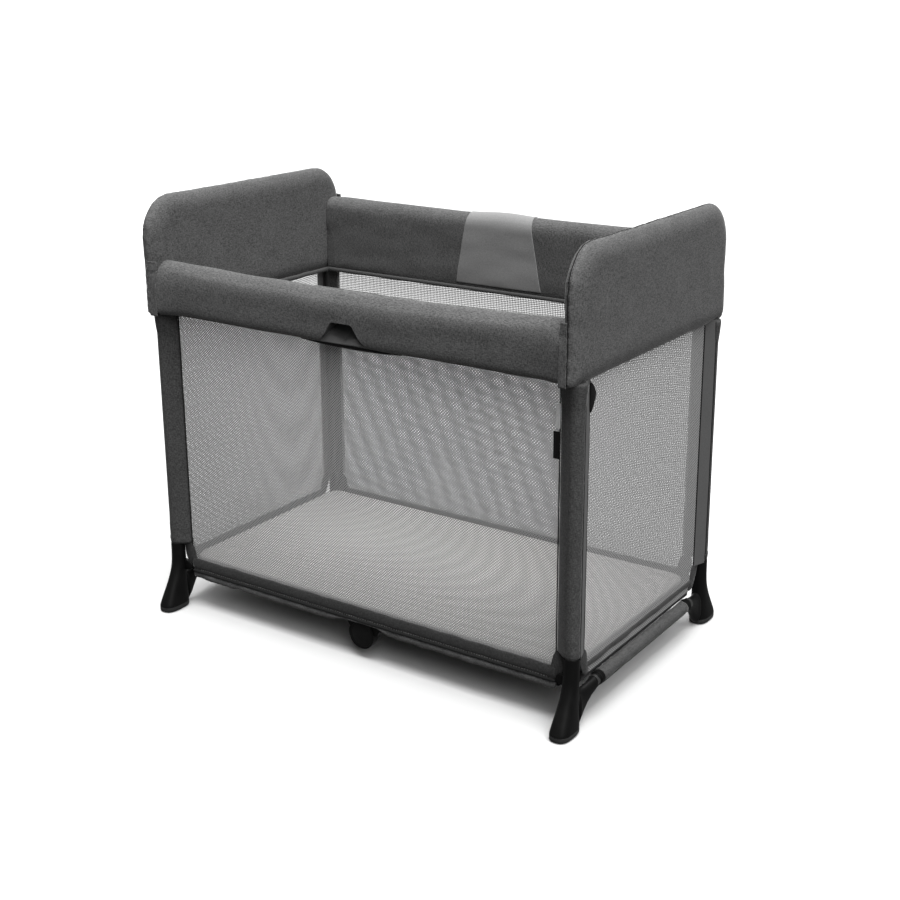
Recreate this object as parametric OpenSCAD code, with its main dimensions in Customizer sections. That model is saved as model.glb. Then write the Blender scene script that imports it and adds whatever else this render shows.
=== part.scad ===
// Folding travel cot: two upright ends, a floor that folds up in the middle and
// padded top rails that fold down in the middle, so that the ends come together.
// Millimetres, +Z up, +X towards the right end, -Y towards the front.
// The origin is on the floor under the middle of the cot.

/* [Overall] */
// Distance between the leg axes along the length
leg_span = 980; // [900:10:1100]
// Distance between the leg axes across the width
leg_gap = 542; // [500:2:600]
// Height of the end panels above the floor
height = 898; // [880:2:940]
// Height of the underside of the padded top band
band_z = 657; // [620:1:665]

/* [Legs and sleeves] */
// Outside diameter of a leg tube and of the hoop above it
leg_d = 26; // [24:0.5:28]
// Wall of every metal tube
tube_wall = 1.5; // [1:0.1:2]
// Thickness of the fabric sleeves on the tubes
sleeve_t = 2; // [1:0.1:2.5]
// Height of the hem at the bottom of a leg sleeve
hem_z = 147; // [135:1:200]
// Width of the flat seam band between a leg and the mesh
seam_w = 18; // [12:1:18]
// Width of the flat seam band between a leg and the end mesh
end_seam_w = 23; // [8:1:23]
// Thickness of the mesh walls
mesh_t = 1.4; // [0.8:0.1:1.6]

/* [End panels] */
// Thickness of a padded end panel
panel_t = 36; // [35.5:0.5:44]
// How far a panel reaches past the leg axes
panel_over = 34; // [24:1:40]
// Radius of the panel's top corners
panel_r = 80; // [60:1:110]
// Rounding along the panel's edges
panel_edge = 12; // [6:1:15]

/* [Top rails] */
// Diameter of a top rail tube
rail_d = 22; // [18:0.5:23]
// Thickness of the padded rail covers
cover_t = 52; // [44:1:60]
// Height of the front cover
front_h = 115; // [105:1:130]
// Height of the rear cover
rear_h = 176; // [150:1:185]
// Padding above the middle hinge of a rail
pad_t = 13; // [6:1:15]
// Width of the grip cut-out at its foot
grip_w = 132; // [110:2:150]
// Height of the grip cut-out
grip_h = 46; // [30:1:50]
// Travel of the release trigger
trigger_stroke = 6; // [4:0.5:7]

/* [Fold] */
// Distance from a leg axis to the end pivots
pivot_in = 25; // [24:1:30]
// Height between an end pivot and the middle pivot that it folds with
fold_gap = 42; // [41:1:48]
// Height of the floor's end pivots
floor_pivot_z = 96; // [95:1:100]
// Diameter of the hinge pins
pin_d = 8; // [6:0.5:9]
// Radius of the eyes and links round the pins
eye_r = 9; // [7:0.5:9.4]

/* [Floor] */
// Diameter of a floor rail tube
base_d = 20; // [18:0.5:20]
// Height of the floor rails' axis
base_z = 82; // [81:0.5:83]
// Distance from a leg axis to a floor rail's axis across the width
base_inset = 26; // [26:0.5:30]
// Thickness of the floor boards
board_t = 3; // [2:0.5:4]
// Thickness of the mattress
mattress_t = 21; // [16:1:22]
// How far the boards and mattress reach past the floor's end pivots
floor_over = 12; // [6:1:12]
// Radius of the hub at the middle of a floor rail
hub_r = 31; // [28:1:33]
// Radius of the cap in the hub
cap_r = 26.7; // [22:0.1:26.7]

/* [Feet] */
// Reach of the toe past the leg axis
toe_reach = 56.5; // [44:0.5:60]
// Half the width of the toe
toe_half = 21; // [17:0.5:24]
// Thickness of the rubber sole
sole_t = 12; // [8:1:14]

/* [End bars] */
// Diameter of an end bar
bar_d = 22; // [18:0.5:22]
// Height of an end bar's axis
bar_z = 73; // [70:0.5:74]
// How far an end bar lies outside the leg axis
bar_out = 8; // [7.5:0.5:9]
// Distance from a leg axis to the collar of an end bar
collar_in = 93; // [80:1:110]

/* [Hidden] */
$fn = 64;
ROUND = 32;          // sides of the rounded soft forms
SOFT = 0.3;          // gap beside fabric and foam
FIT = 0.05;          // radial clearance of a fixed pin or plug
RUN = 0.08;          // radial clearance of a turning pin
SIDE = 0.4;          // side clearance between two leaves
BIG = 2000;

lx = leg_span / 2;                       // leg axis
ly = leg_gap / 2;
leg_r = leg_d / 2;
pin_r = pin_d / 2;
foot_col_r = leg_r + sleeve_t;           // plastic column of a foot
foot_top = hem_z - 0.5;
leg_foot = 60;                           // where a leg tube stands in its foot
foot_wrap = 30;                          // solid part of a foot round the leg's end
boot_top = 92;                           // where the boot flares out of its column
leg_top = band_z - 7;                    // the hoop begins here, inside the panel
spigot = 40;                             // the hoop's plug inside the leg
hoop_bend = 70;
hoop_z = height - 22;                    // axis of the hoop's top tube

px = lx - pivot_in;                      // end pivots
mid_rise = fold_gap;
rail_rise = fold_gap / 2;                // rail axis above its end pivot
rail_r = rail_d / 2;
front_top = band_z + front_h;
rear_top = band_z + rear_h;
slot_half = max(rail_r, 11) + 0.5;       // half the width of the space inside a cover
cover_end = lx - panel_t / 2 - SOFT;
cover_edge = 18;
leaf_t = 10.6;                           // an eye between the bracket's two cheeks
cheek_t = 4.5;
collar_t = 3;                            // clamp ring of a bracket round the hoop
bracket_h = 34;
rail_in = 25;                            // rail tube's end past the end pivot
rail_mid = 28;                           // rail tube's end before the middle
plug_l = 24;
shoulder_l = 7;
head_t = 1;                              // flat heads of the pins
trigger_in = 36;
trigger_x = rail_mid + trigger_in;       // middle of the trigger, on the left rail
trigger_l = 44;
trigger_w = 14;
trigger_t = 6;
post_r = 2.5;
post_gap = 14;

wall_y = ly - leg_r + 4;                 // inner face of the long mesh walls
wall_x = lx + 1;                         // inner face of the end mesh walls
band_in = lx - leg_r - sleeve_t - seam_w;   // inner edge of the seam band
end_band_in = ly - leg_r - sleeve_t - end_seam_w;
wall_foot = base_z + 6;
end_wall_foot = 93;

base_r = base_d / 2;
base_sleeve_t = 1.3;
base_stop = px - 24;                     // where a floor rail tube ends
by = ly - base_inset;                    // floor rail axis
ear_in = by + 6;
ear_t = 5.2;
lug_in = ear_in + ear_t + SIDE;          // the foot's lug beside the ear
lug_t = 12;
lug_r = eye_r + 1;
hub_z = floor_pivot_z - fold_gap;        // hub pivot
hub_split = by + 1.9;                    // where the hub's two leaves meet
hub_leaf_t = 11.6;
hub_pin_r = 6;
socket_in = hub_r + 5;                   // hub sockets on the floor rails
socket_l = 58;
socket_r = base_r + base_sleeve_t + SOFT;
cap_t = 4.3;
board_z = base_z + base_r + base_sleeve_t + 2 * SOFT;
mattress_z = board_z + board_t + SOFT;
floor_half = by + 5;

bar_r = bar_d / 2;
bar_x = lx + bar_out;
bar_sleeve_t = 1.6;
collar_y = ly - collar_in;
collar_w = 12;
arm_t = 18;
arm_step = 16;                           // the gusset's underside: first bend,
arm_run = 38;                            // second bend
arm_fall = 26;                           // and its depth beside the foot

heel_y = -13;                            // back of the sole from the leg axis
toe_mid = (toe_reach + heel_y) / 2;

FABRIC = [0.30, 0.30, 0.31];
MESH = [0.66, 0.66, 0.65];
PLASTIC = [0.10, 0.10, 0.11];
METAL = [0.32, 0.33, 0.34];
STEEL = [0.70, 0.71, 0.73];
PAD = [0.64, 0.64, 0.61];

// Every piece is modelled at the rear right corner and mirrored to its place:
// sx is -1 at the left end, sy is -1 at the front.
module at(sx, sy) {
    mirror([sx < 0 ? 1 : 0, 0, 0]) mirror([0, sy < 0 ? 1 : 0, 0]) children();
}

module both_sides(sx) {
    for (sy = [-1, 1]) at(sx, sy) children();
}

function cover_top(sy) = sy < 0 ? front_top : rear_top;
function rail_pivot_z(sy) = cover_top(sy) - pad_t - eye_r - mid_rise;

// Round bar along X, Y or Z from one coordinate to the other
module rod_x(x1, x2, y, z, r) {
    translate([x1, y, z]) rotate([0, 90, 0]) cylinder(h = x2 - x1, r = r);
}

module rod_y(y1, y2, x, z, r) {
    translate([x, y2, z]) rotate([90, 0, 0]) cylinder(h = y2 - y1, r = r);
}

module rod_z(z1, z2, x, y, r) {
    translate([x, y, z1]) cylinder(h = z2 - z1, r = r);
}

// Plate in the XZ plane between two Y values
module plate_xz(y1, y2) {
    translate([0, y2, 0]) rotate([90, 0, 0]) linear_extrude(height = y2 - y1) children();
}

// Straight link with round ends between two points of the XZ plane
module link(a, b, r, y1, y2) {
    d = b - a;
    plate_xz(y1, y2) {
        translate(a) circle(r = r);
        translate(b) circle(r = r);
        translate(a) rotate(atan2(d[1], d[0])) translate([0, -0.995 * r]) square([norm(d), 1.99 * r]);
    }
}

module tube_x(x1, x2, y, z, r, wall) {
    difference() {
        rod_x(x1, x2, y, z, r);
        rod_x(x1 - 1, x2 + 1, y, z, r - wall);
    }
}

// ---- Legs, feet and end frames ----

module leg() {
    color(METAL) difference() {
        rod_z(leg_foot, leg_top, lx, ly, leg_r);
        rod_z(leg_foot - 1, leg_top + 1, lx, ly, leg_r - tube_wall);
    }
}

module leg_sleeve() {
    r1 = leg_r + SOFT;
    r2 = leg_r + sleeve_t;
    color(FABRIC) difference() {
        union() {
            rod_z(hem_z, band_z - SOFT, lx, ly, r2);
            // seam band beside the long mesh wall
            translate([band_in + SOFT, wall_y, hem_z])
                cube([lx - band_in - SOFT, sleeve_t, band_z - SOFT - hem_z]);
            // seam band beside the end mesh wall
            translate([wall_x, end_band_in + SOFT, hem_z])
                cube([sleeve_t, ly - end_band_in - SOFT, band_z - SOFT - hem_z]);
        }
        rod_z(hem_z - 1, band_z, lx, ly, r1);
    }
}

// One level of the boot: an ellipse that the hulls below run between
module boot_level(z, back, front, half) {
    translate([lx, ly + (front + back) / 2, z])
        scale([half, (front - back) / 2, 1]) cylinder(h = 0.6, r = 1, $fn = ROUND);
}

module boot() {
    top = max(boot_top, leg_foot + foot_wrap);
    hull() {
        boot_level(top, -foot_col_r, foot_col_r, foot_col_r);
        boot_level(top * 0.74, -foot_col_r + 0.5, toe_reach * 0.53, foot_col_r + 0.6);
    }
    hull() {
        boot_level(top * 0.74, -foot_col_r + 0.5, toe_reach * 0.53, foot_col_r + 0.6);
        boot_level(top * 0.43, heel_y - 1, toe_reach * 0.82, (foot_col_r + toe_half) / 2);
    }
    hull() {
        boot_level(top * 0.43, heel_y - 1, toe_reach * 0.82, (foot_col_r + toe_half) / 2);
        boot_level(sole_t, heel_y, toe_reach, toe_half);
    }
}

// Gusset that reaches from a foot to the collar of the end bar
module bar_arm() {
    root = ly - 6;
    tip = collar_y + collar_w;
    low = bar_z - bar_r - 2;
    translate([bar_x - arm_t / 2, 0, 0]) rotate([90, 0, 90]) linear_extrude(height = arm_t)
        polygon([
            [tip - 8, low], [tip + arm_step, low - 4], [tip + arm_run, low - 15], [root - 9, low - arm_fall],
            [root, low - 30], [root, bar_z + 5], [root - 14, bar_z - 1], [root - 34, bar_z],
            [tip + 14, bar_z + 6], [tip + 4, bar_z + bar_r - 0.5], [tip - 8, bar_z + bar_r - 0.5]
        ]);
    rod_y(collar_y, tip, bar_x, bar_z, bar_r + 2.5);
}

module foot() {
    socket = 26;   // depth of the end bar in its collar
    color(PLASTIC) difference() {
        union() {
            rod_z(leg_foot + foot_wrap, foot_top, lx, ly, foot_col_r);
            boot();
            bar_arm();
            // lug for the floor's end pivot
            rod_y(lug_in, lug_in + lug_t, px, floor_pivot_z, lug_r);
            translate([px, lug_in, floor_pivot_z - lug_r]) cube([pivot_in - 4, lug_t, 2 * lug_r]);
        }
        rod_z(leg_foot, foot_top + 1, lx, ly, leg_r + FIT);
        rod_y(collar_y - 1, collar_y + socket, bar_x, bar_z, bar_r + FIT);
        rod_y(lug_in - 1, lug_in + lug_t - 2, px, floor_pivot_z, pin_r + FIT);
    }
}

module sole() {
    color([0.07, 0.07, 0.07]) hull() {
        boot_level(sole_t - 0.6, heel_y, toe_reach, toe_half);
        boot_level(3, heel_y, toe_reach, toe_half);
        boot_level(0, heel_y + 3, toe_reach - 6, toe_half - 4);
    }
}

// Path of the hoop as a solid of radius r, from height z1 up and over
module hoop_path(r, z1, ease = 0) {
    for (s = [-1, 1]) {
        rod_z(z1, hoop_z - hoop_bend, lx, s * ly, r);
        translate([lx, s * (ly - hoop_bend), hoop_z - hoop_bend])
            rotate([90, 0, 90]) rotate([0, 0, s > 0 ? 0 : 90])
                rotate_extrude(angle = 90) translate([hoop_bend, 0]) circle(r = r + ease);
    }
    rod_y(-ly + hoop_bend, ly - hoop_bend, lx, hoop_z, r);
}

module hoop() {
    color(METAL) {
        difference() {
            hoop_path(leg_r, leg_top);
            hoop_path(leg_r - tube_wall, leg_top - 1);
        }
        for (s = [-1, 1]) difference() {
            rod_z(leg_top - spigot, leg_top + 20, lx, s * ly, leg_r - tube_wall - FIT);
            rod_z(leg_top - spigot - 1, leg_top + 21, lx, s * ly, leg_r - 2 * tube_wall - FIT);
        }
    }
}

module panel_form() {
    half = panel_t / 2;
    out = ly + panel_over;
    lean = 0.5;      // the sides lean in towards the band's underside
    hull() for (s = [-1, 1]) {
        translate([lx, s * (out - panel_r), height - panel_r])
            rotate([90, 0, 90]) rotate([0, 0, s > 0 ? 0 : 90])
                rotate_extrude(angle = 90, $fn = ROUND) {
                    translate([panel_r - panel_edge, half - panel_edge])
                        circle(r = panel_edge, $fn = 20);
                    translate([panel_r - panel_edge, panel_edge - half])
                        circle(r = panel_edge, $fn = 20);
                }
        for (t = [-1, 1])
            translate([lx + t * (half - panel_edge), s * (out - panel_edge - lean), band_z])
                cylinder(h = 1, r = panel_edge, $fn = 20);
    }
}

module panel() {
    gap = collar_t + leg_r + SOFT;
    color(FABRIC) difference() {
        panel_form();
        hoop_path(leg_r + SOFT, band_z - 10, ease = 0.2);
        for (s = [-1, 1]) {
            z0 = rail_pivot_z(s) - bracket_h / 2 - SOFT;
            // pocket for the bracket, open towards the rail
            translate([lx - panel_t, s * ly - gap, z0])
                cube([panel_t + gap, 2 * gap, bracket_h + 2 * SOFT]);
        }
    }
}

module end_wall() {
    foot_cut = 22;   // the mesh is cut across at its bottom corners
    half = end_band_in;
    color(MESH) translate([wall_x, 0, 0]) rotate([90, 0, 90]) linear_extrude(height = mesh_t)
        polygon([
            [-half, band_z - SOFT], [-half, end_wall_foot + 2 * foot_cut],
            [-half + foot_cut, end_wall_foot], [half - foot_cut, end_wall_foot],
            [half, end_wall_foot + 2 * foot_cut], [half, band_z - SOFT]
        ]);
}

module end_bar() {
    reach = collar_y + 25;
    color(METAL) difference() {
        rod_y(-reach, reach, bar_x, bar_z, bar_r);
        rod_y(-reach - 1, reach + 1, bar_x, bar_z, bar_r - tube_wall);
    }
}

module bar_sleeve() {
    reach = collar_y - SOFT;
    color(FABRIC) difference() {
        rod_y(-reach, reach, bar_x, bar_z, bar_r + SOFT + bar_sleeve_t);
        rod_y(-reach - 1, reach + 1, bar_x, bar_z, bar_r + SOFT);
    }
}

// Clamp round the hoop with two cheeks that hold a top rail's end pin
module rail_bracket(sy) {
    z = rail_pivot_z(sy);
    half = leaf_t / 2 + SIDE;
    color(PLASTIC) difference() {
        union() {
            rod_z(z - bracket_h / 2, z + bracket_h / 2, lx, ly, leg_r + collar_t);
            for (s = [-1, 1]) {
                y = ly + s * (half + cheek_t / 2) - cheek_t / 2;
                rod_y(y, y + cheek_t, px, z, eye_r + 1);
                translate([px, y, z - eye_r - 1]) cube([pivot_in - leg_r + 1, cheek_t, 2 * (eye_r + 1)]);
            }
            translate([px + eye_r + 3, ly - half - 1, z - eye_r - 1])
                cube([pivot_in - leg_r - eye_r - 2, 2 * half + 2, 2 * (eye_r + 1)]);
        }
        rod_z(z - bracket_h, z + bracket_h, lx, ly, leg_r + FIT);
        rod_y(ly - 30, ly + 30, px, z, pin_r + FIT);
    }
}

// Pins of the top rail's end and of the floor's end pivot, each with a flat head
module end_pins(sy) {
    z = rail_pivot_z(sy);
    half = leaf_t / 2 + SIDE + cheek_t;
    color(STEEL) {
        rod_y(ly - half, ly + half, px, z, pin_r);
        for (y = [ly - half - head_t, ly + half]) rod_y(y, y + head_t, px, z, pin_r + 2);
        rod_y(ear_in - 0.4, lug_in + lug_t - 2, px, floor_pivot_z, pin_r);
    }
}

// ---- Top rails ----

module top_rail(sx, sy) {
    z = rail_pivot_z(sy) + rail_rise;
    color(METAL) difference() {
        tube_x(rail_mid, px - rail_in, ly, z, rail_r, tube_wall);
        // guide holes for the posts of the trigger
        if (sx < 0) for (s = [-1, 1])
            rod_z(z - rail_r - 1, z, trigger_x + s * post_gap / 2, ly, post_r + RUN);
    }
}

// End eye and middle leaf of one rail; the left rail also carries the middle pin
module rail_ends(sx, sy) {
    zp = rail_pivot_z(sy);
    z = zp + rail_rise;
    zm = zp + mid_rise;
    x1 = px - rail_in;
    y0 = ly - leaf_t / 2;
    leaf = leaf_t / 2 - SIDE / 2;
    ya = sx < 0 ? y0 : ly + SIDE / 2;
    color(PLASTIC) {
        difference() {
            union() {
                link([px, zp], [px - 16, z], eye_r, y0, y0 + leaf_t);
                rod_x(x1, x1 + shoulder_l, ly, z, rail_r);
                rod_x(x1 - plug_l, x1 + 1, ly, z, rail_r - tube_wall - FIT);
            }
            rod_y(0, BIG, px, zp, pin_r + RUN);
        }
        difference() {
            union() {
                link([0, zm], [rail_mid - 6, z], eye_r, ya, ya + leaf);
                rod_x(rail_mid - shoulder_l, rail_mid, ly, z, rail_r);
                rod_x(rail_mid - 1, rail_mid + plug_l, ly, z, rail_r - tube_wall - FIT);
            }
            if (sx > 0) rod_y(0, BIG, 0, zm, pin_r + RUN);
            if (sx < 0) rod_y(0, BIG, 0, zm, pin_r);
        }
    }
    if (sx < 0) color(STEEL) {
        rod_y(y0, ly + leaf_t / 2, 0, zm, pin_r);
        for (y = [y0 - head_t, ly + leaf_t / 2]) rod_y(y, y + head_t, 0, zm, pin_r + 2.5);
    }
}

// Squeeze trigger under the middle of a rail, seen through the grip cut-out.
// Its two posts slide in holes in the rail tube.
module trigger(sy) {
    z = rail_pivot_z(sy) + rail_rise - rail_r - trigger_stroke - 0.6;
    color(PLASTIC) {
        difference() {
            translate([trigger_x - trigger_l / 2, ly - trigger_w / 2, z - trigger_t])
                cube([trigger_l, trigger_w, trigger_t]);
            for (s = [-1, 1])
                rod_y(0, BIG, trigger_x + s * trigger_l / 2, z - trigger_t - 7, 10);
        }
        for (s = [-1, 1])
            rod_z(z - 1, z + trigger_stroke + 5, trigger_x + s * post_gap / 2, ly, post_r);
    }
}

module cover(sy) {
    top = cover_top(sy);
    z = rail_pivot_z(sy);
    half = cover_t / 2;
    color(FABRIC) difference() {
        hull() for (s = [-1, 1]) {
            rod_round(1, cover_end, ly + s * (half - cover_edge), top - cover_edge, cover_edge);
            rod_round(1, cover_end, ly + s * (half - cover_edge / 2), band_z + cover_edge / 2,
                cover_edge / 2);
        }
        // space for the rail, its hinges and the trigger
        translate([-1, ly - slot_half, z - lug_r - 3])
            cube([BIG, 2 * slot_half, mid_rise + lug_r + eye_r + 3.5]);
        // grip cut-out in the outer face, open below
        plate_xz(ly - slot_half, BIG) polygon([
            [-1, band_z - 1], [grip_w / 2, band_z - 1], [grip_w / 2 - 12, band_z + grip_h / 2],
            [grip_w / 2 - 34, band_z + grip_h], [-1, band_z + grip_h]
        ]);
    }
}

module rod_round(x1, x2, y, z, r) {
    translate([x1, y, z]) rotate([0, 90, 0]) cylinder(h = x2 - x1, r = r, $fn = ROUND);
}

module side_wall() {
    color(MESH) translate([1, wall_y + mesh_t, 0]) rotate([90, 0, 0])
        linear_extrude(height = mesh_t)
            polygon([
                [0, wall_foot], [band_in - 24, wall_foot], [band_in - 1, hem_z - 10],
                [band_in - 1, band_z - SOFT], [0, band_z - SOFT]
            ]);
}

// ---- Folding floor ----

module base_rail() {
    color(METAL) tube_x(socket_in + 14, base_stop, by, base_z, base_r, tube_wall);
}

// Ear that hangs a floor rail on its end pin
module base_end() {
    x1 = base_stop;
    color(PLASTIC) difference() {
        union() {
            link([px, floor_pivot_z], [x1 + eye_r + 1.5, base_z], eye_r, ear_in, ear_in + ear_t);
            rod_x(x1, x1 + shoulder_l + 3, by, base_z, socket_r);
            rod_x(x1 - plug_l, x1 + 1, by, base_z, base_r - tube_wall - FIT);
        }
        rod_y(0, BIG, px, floor_pivot_z, pin_r + RUN);
    }
}

module base_sleeve() {
    color(FABRIC) tube_x(socket_in + socket_l + SOFT, base_stop - SOFT, by, base_z, socket_r,
        base_sleeve_t);
}

// Half of a hub: a round leaf on the hub pin and a socket on the floor rail
module hub(sx) {
    outer = sx > 0;
    y1 = outer ? hub_split + SIDE / 2 : hub_split - SIDE / 2 - hub_leaf_t;
    y2 = y1 + hub_leaf_t;
    color(PLASTIC) difference() {
        union() {
            rod_y(y1, y2, 0, hub_z, hub_r);
            rod_x(socket_in, socket_in + socket_l, by, base_z, socket_r);
            plate_xz(y1, min(y2, by + socket_r)) polygon([
                [hub_r * 0.2, hub_z + hub_r * 0.86], [socket_in, base_z + socket_r - 2],
                [socket_in + 20, base_z + socket_r - 2], [socket_in + 20, base_z - socket_r + 2],
                [socket_in + 8, base_z - socket_r - 1], [socket_in + 3, hub_z + 6],
                [hub_r * 0.8, hub_z + 2]
            ]);
        }
        rod_x(socket_in + 14, BIG, by, base_z, base_r + FIT);
        if (outer) {
            rod_y(0, BIG, 0, hub_z, hub_pin_r + FIT);
            rod_y(y2 - cap_t, BIG, 0, hub_z, cap_r + FIT + 0.3);
        }
        else rod_y(0, BIG, 0, hub_z, hub_pin_r + RUN);
    }
}

module hub_pin() {
    y2 = hub_split + SIDE / 2 + hub_leaf_t;
    color(PLASTIC) {
        rod_y(hub_split - SIDE / 2 - hub_leaf_t, y2 - cap_t + 0.5, 0, hub_z, hub_pin_r);
        rod_y(y2 - cap_t, y2, 0, hub_z, cap_r);
    }
}

// Rounded rectangle from x = 0.5 outwards, for one half of the floor
module half_slab(z, t, corner) {
    out = px + floor_over;
    translate([0, 0, z]) linear_extrude(height = t) {
        translate([0.5, -floor_half]) square([out - corner - 0.5, 2 * floor_half]);
        translate([0.5, corner - floor_half]) square([out - 0.5, 2 * (floor_half - corner)]);
        for (s = [-1, 1]) translate([out - corner, s * (floor_half - corner)]) circle(r = corner);
    }
}

module board() {
    color([0.14, 0.14, 0.15]) half_slab(board_z, board_t, 14);
}

module mattress() {
    color(PAD) half_slab(mattress_z, mattress_t, 24);
}

at(-1, -1) leg();  // leg_fl
at(-1, 1) leg();  // leg_rl
at(1, -1) leg();  // leg_fr
at(1, 1) leg();  // leg_rr
at(-1, -1) foot();  // foot_fl
at(-1, 1) foot();  // foot_rl
at(1, -1) foot();  // foot_fr
at(1, 1) foot();  // foot_rr
both_sides(-1) sole();  // soles_l
both_sides(1) sole();  // soles_r
at(-1, -1) leg_sleeve();  // sleeve_fl
at(-1, 1) leg_sleeve();  // sleeve_rl
at(1, -1) leg_sleeve();  // sleeve_fr
at(1, 1) leg_sleeve();  // sleeve_rr
at(-1, 1) hoop();  // hoop_l
at(1, 1) hoop();  // hoop_r
at(-1, 1) panel();  // panel_l
at(1, 1) panel();  // panel_r
at(-1, 1) end_wall();  // endwall_l
at(1, 1) end_wall();  // endwall_r
at(-1, 1) end_bar();  // endbar_l
at(1, 1) end_bar();  // endbar_r
at(-1, 1) bar_sleeve();  // barsleeve_l
at(1, 1) bar_sleeve();  // barsleeve_r
for (s = [-1, 1]) at(-1, s) rail_bracket(s);  // brackets_l
for (s = [-1, 1]) at(1, s) rail_bracket(s);  // brackets_r
for (s = [-1, 1]) at(-1, s) end_pins(s);  // pins_l
for (s = [-1, 1]) at(1, s) end_pins(s);  // pins_r
at(-1, -1) top_rail(-1, -1);  // toprail_fl
at(-1, 1) top_rail(-1, 1);  // toprail_rl
at(1, -1) top_rail(1, -1);  // toprail_fr
at(1, 1) top_rail(1, 1);  // toprail_rr
at(-1, -1) rail_ends(-1, -1);  // railends_fl
at(-1, 1) rail_ends(-1, 1);  // railends_rl
at(1, -1) rail_ends(1, -1);  // railends_fr
at(1, 1) rail_ends(1, 1);  // railends_rr
at(-1, -1) trigger(-1);  // trigger_f
at(-1, 1) trigger(1);  // trigger_r
at(-1, -1) cover(-1);  // cover_fl
at(-1, 1) cover(1);  // cover_rl
at(1, -1) cover(-1);  // cover_fr
at(1, 1) cover(1);  // cover_rr
at(-1, -1) side_wall();  // sidewall_fl
at(-1, 1) side_wall();  // sidewall_rl
at(1, -1) side_wall();  // sidewall_fr
at(1, 1) side_wall();  // sidewall_rr
both_sides(-1) base_rail();  // baserails_l
both_sides(1) base_rail();  // baserails_r
both_sides(-1) base_end();  // baseends_l
both_sides(1) base_end();  // baseends_r
both_sides(-1) base_sleeve();  // basesleeves_l
both_sides(1) base_sleeve();  // basesleeves_r
both_sides(-1) hub(-1);  // hub_l
both_sides(1) hub(1);  // hub_r
both_sides(1) hub_pin();  // hubpins
at(-1, 1) board();  // board_l
at(1, 1) board();  // board_r
at(-1, 1) mattress();  // mattress_l
at(1, 1) mattress();  // mattress_r
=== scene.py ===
import math
from contextlib import contextmanager

import bmesh
import bpy
import numpy as np
from mathutils import Matrix, Vector, noise
from mathutils.bvhtree import BVHTree


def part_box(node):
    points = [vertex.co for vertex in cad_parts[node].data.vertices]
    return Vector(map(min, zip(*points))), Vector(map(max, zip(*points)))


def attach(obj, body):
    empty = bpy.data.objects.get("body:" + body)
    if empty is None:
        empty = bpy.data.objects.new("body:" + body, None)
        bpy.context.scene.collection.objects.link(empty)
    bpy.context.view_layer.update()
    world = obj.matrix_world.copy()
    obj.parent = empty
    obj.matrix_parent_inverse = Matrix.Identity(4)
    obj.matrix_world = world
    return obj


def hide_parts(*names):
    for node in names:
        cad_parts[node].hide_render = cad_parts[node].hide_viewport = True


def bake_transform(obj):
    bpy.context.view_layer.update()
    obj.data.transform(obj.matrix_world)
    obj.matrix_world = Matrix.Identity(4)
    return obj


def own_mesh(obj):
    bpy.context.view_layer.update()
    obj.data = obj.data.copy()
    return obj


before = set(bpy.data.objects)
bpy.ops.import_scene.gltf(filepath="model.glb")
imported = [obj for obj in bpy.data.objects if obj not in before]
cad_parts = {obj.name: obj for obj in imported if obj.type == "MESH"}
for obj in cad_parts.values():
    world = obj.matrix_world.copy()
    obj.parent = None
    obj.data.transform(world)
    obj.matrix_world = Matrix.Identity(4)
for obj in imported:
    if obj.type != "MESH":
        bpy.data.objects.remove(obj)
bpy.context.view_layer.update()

# ---- Places and sizes, in metres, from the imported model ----


def low(node):
    return Vector(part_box(node)[0])


def high(node):
    return Vector(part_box(node)[1])


def middle(node):
    return (low(node) + high(node)) / 2


LEG_X, LEG_Y = middle("leg_rr").x, middle("leg_rr").y
HEM_Z, BAND_Z = low("sleeve_rr").z, low("panel_r").z
HEIGHT = high("panel_r").z
PANEL_IN, PANEL_OUT = low("panel_r").x, high("panel_r").x
PANEL_HALF = high("panel_r").y
FRONT_TOP, REAR_TOP = high("cover_fr").z, high("cover_rr").z
COVER_IN, COVER_OUT = low("cover_rr").y, high("cover_rr").y
WALL_Y, WALL_X = middle("sidewall_rr").y, middle("endwall_r").x
WALL_END = high("sidewall_rr").x
END_WALL_HALF = high("endwall_r").y
WALL_FOOT, END_WALL_FOOT = low("sidewall_rr").z, low("endwall_r").z
BAR_X, BAR_Z = middle("endbar_r").x, middle("endbar_r").z
FLOOR_TOP, PAD_TOP = low("mattress_r").z, high("mattress_r").z
PAD_HALF, PAD_END = high("mattress_r").y, high("mattress_r").x
HUB_Z = middle("hubpins").z
RAIL_Y, RAIL_Z = (high("baserails_r").y - 0.010), middle("baserails_r").z
COLUMN_R = 0.015
CORNER_R = 0.080          # top corners of the end panels
FLOOR_PIVOT_X, FLOOR_PIVOT_Z = 0.465, 0.096
SIDES = (-1, 1)
END_NAME = {-1: "left", 1: "right"}
END_BODY = {-1: "left_end", 1: "right_end"}
ROW_NAME = {-1: "front", 1: "rear"}
CODE = {(-1, -1): "fl", (-1, 1): "rl", (1, -1): "fr", (1, 1): "rr"}

# ---- Materials ----

MELANGE_THREAD, PLAIN_THREAD = 0.0010, 0.0008
NET_PITCH, SPACER_PITCH = (0.0059, 0.0055), (0.0060, 0.0055)      # two holes or pits in each


def feed(tree, node, inputs):
    """Gives a node's inputs numbers, colours or other nodes' outputs."""
    for key, value in inputs.items():
        if isinstance(value, bpy.types.NodeSocket):
            tree.links.new(value, node.inputs[key])
        else:
            node.inputs[key].default_value = value


def new_material(name, inputs):
    mat = bpy.data.materials.new(name)
    mat.use_nodes = True
    bsdf = mat.node_tree.nodes["Principled BSDF"]
    feed(mat.node_tree, bsdf, inputs)
    return mat, mat.node_tree, bsdf


def add(tree, kind, inputs, **settings):
    node = tree.nodes.new(kind)
    for key, value in settings.items():
        setattr(node, key, value)
    feed(tree, node, inputs)
    return node


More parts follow.
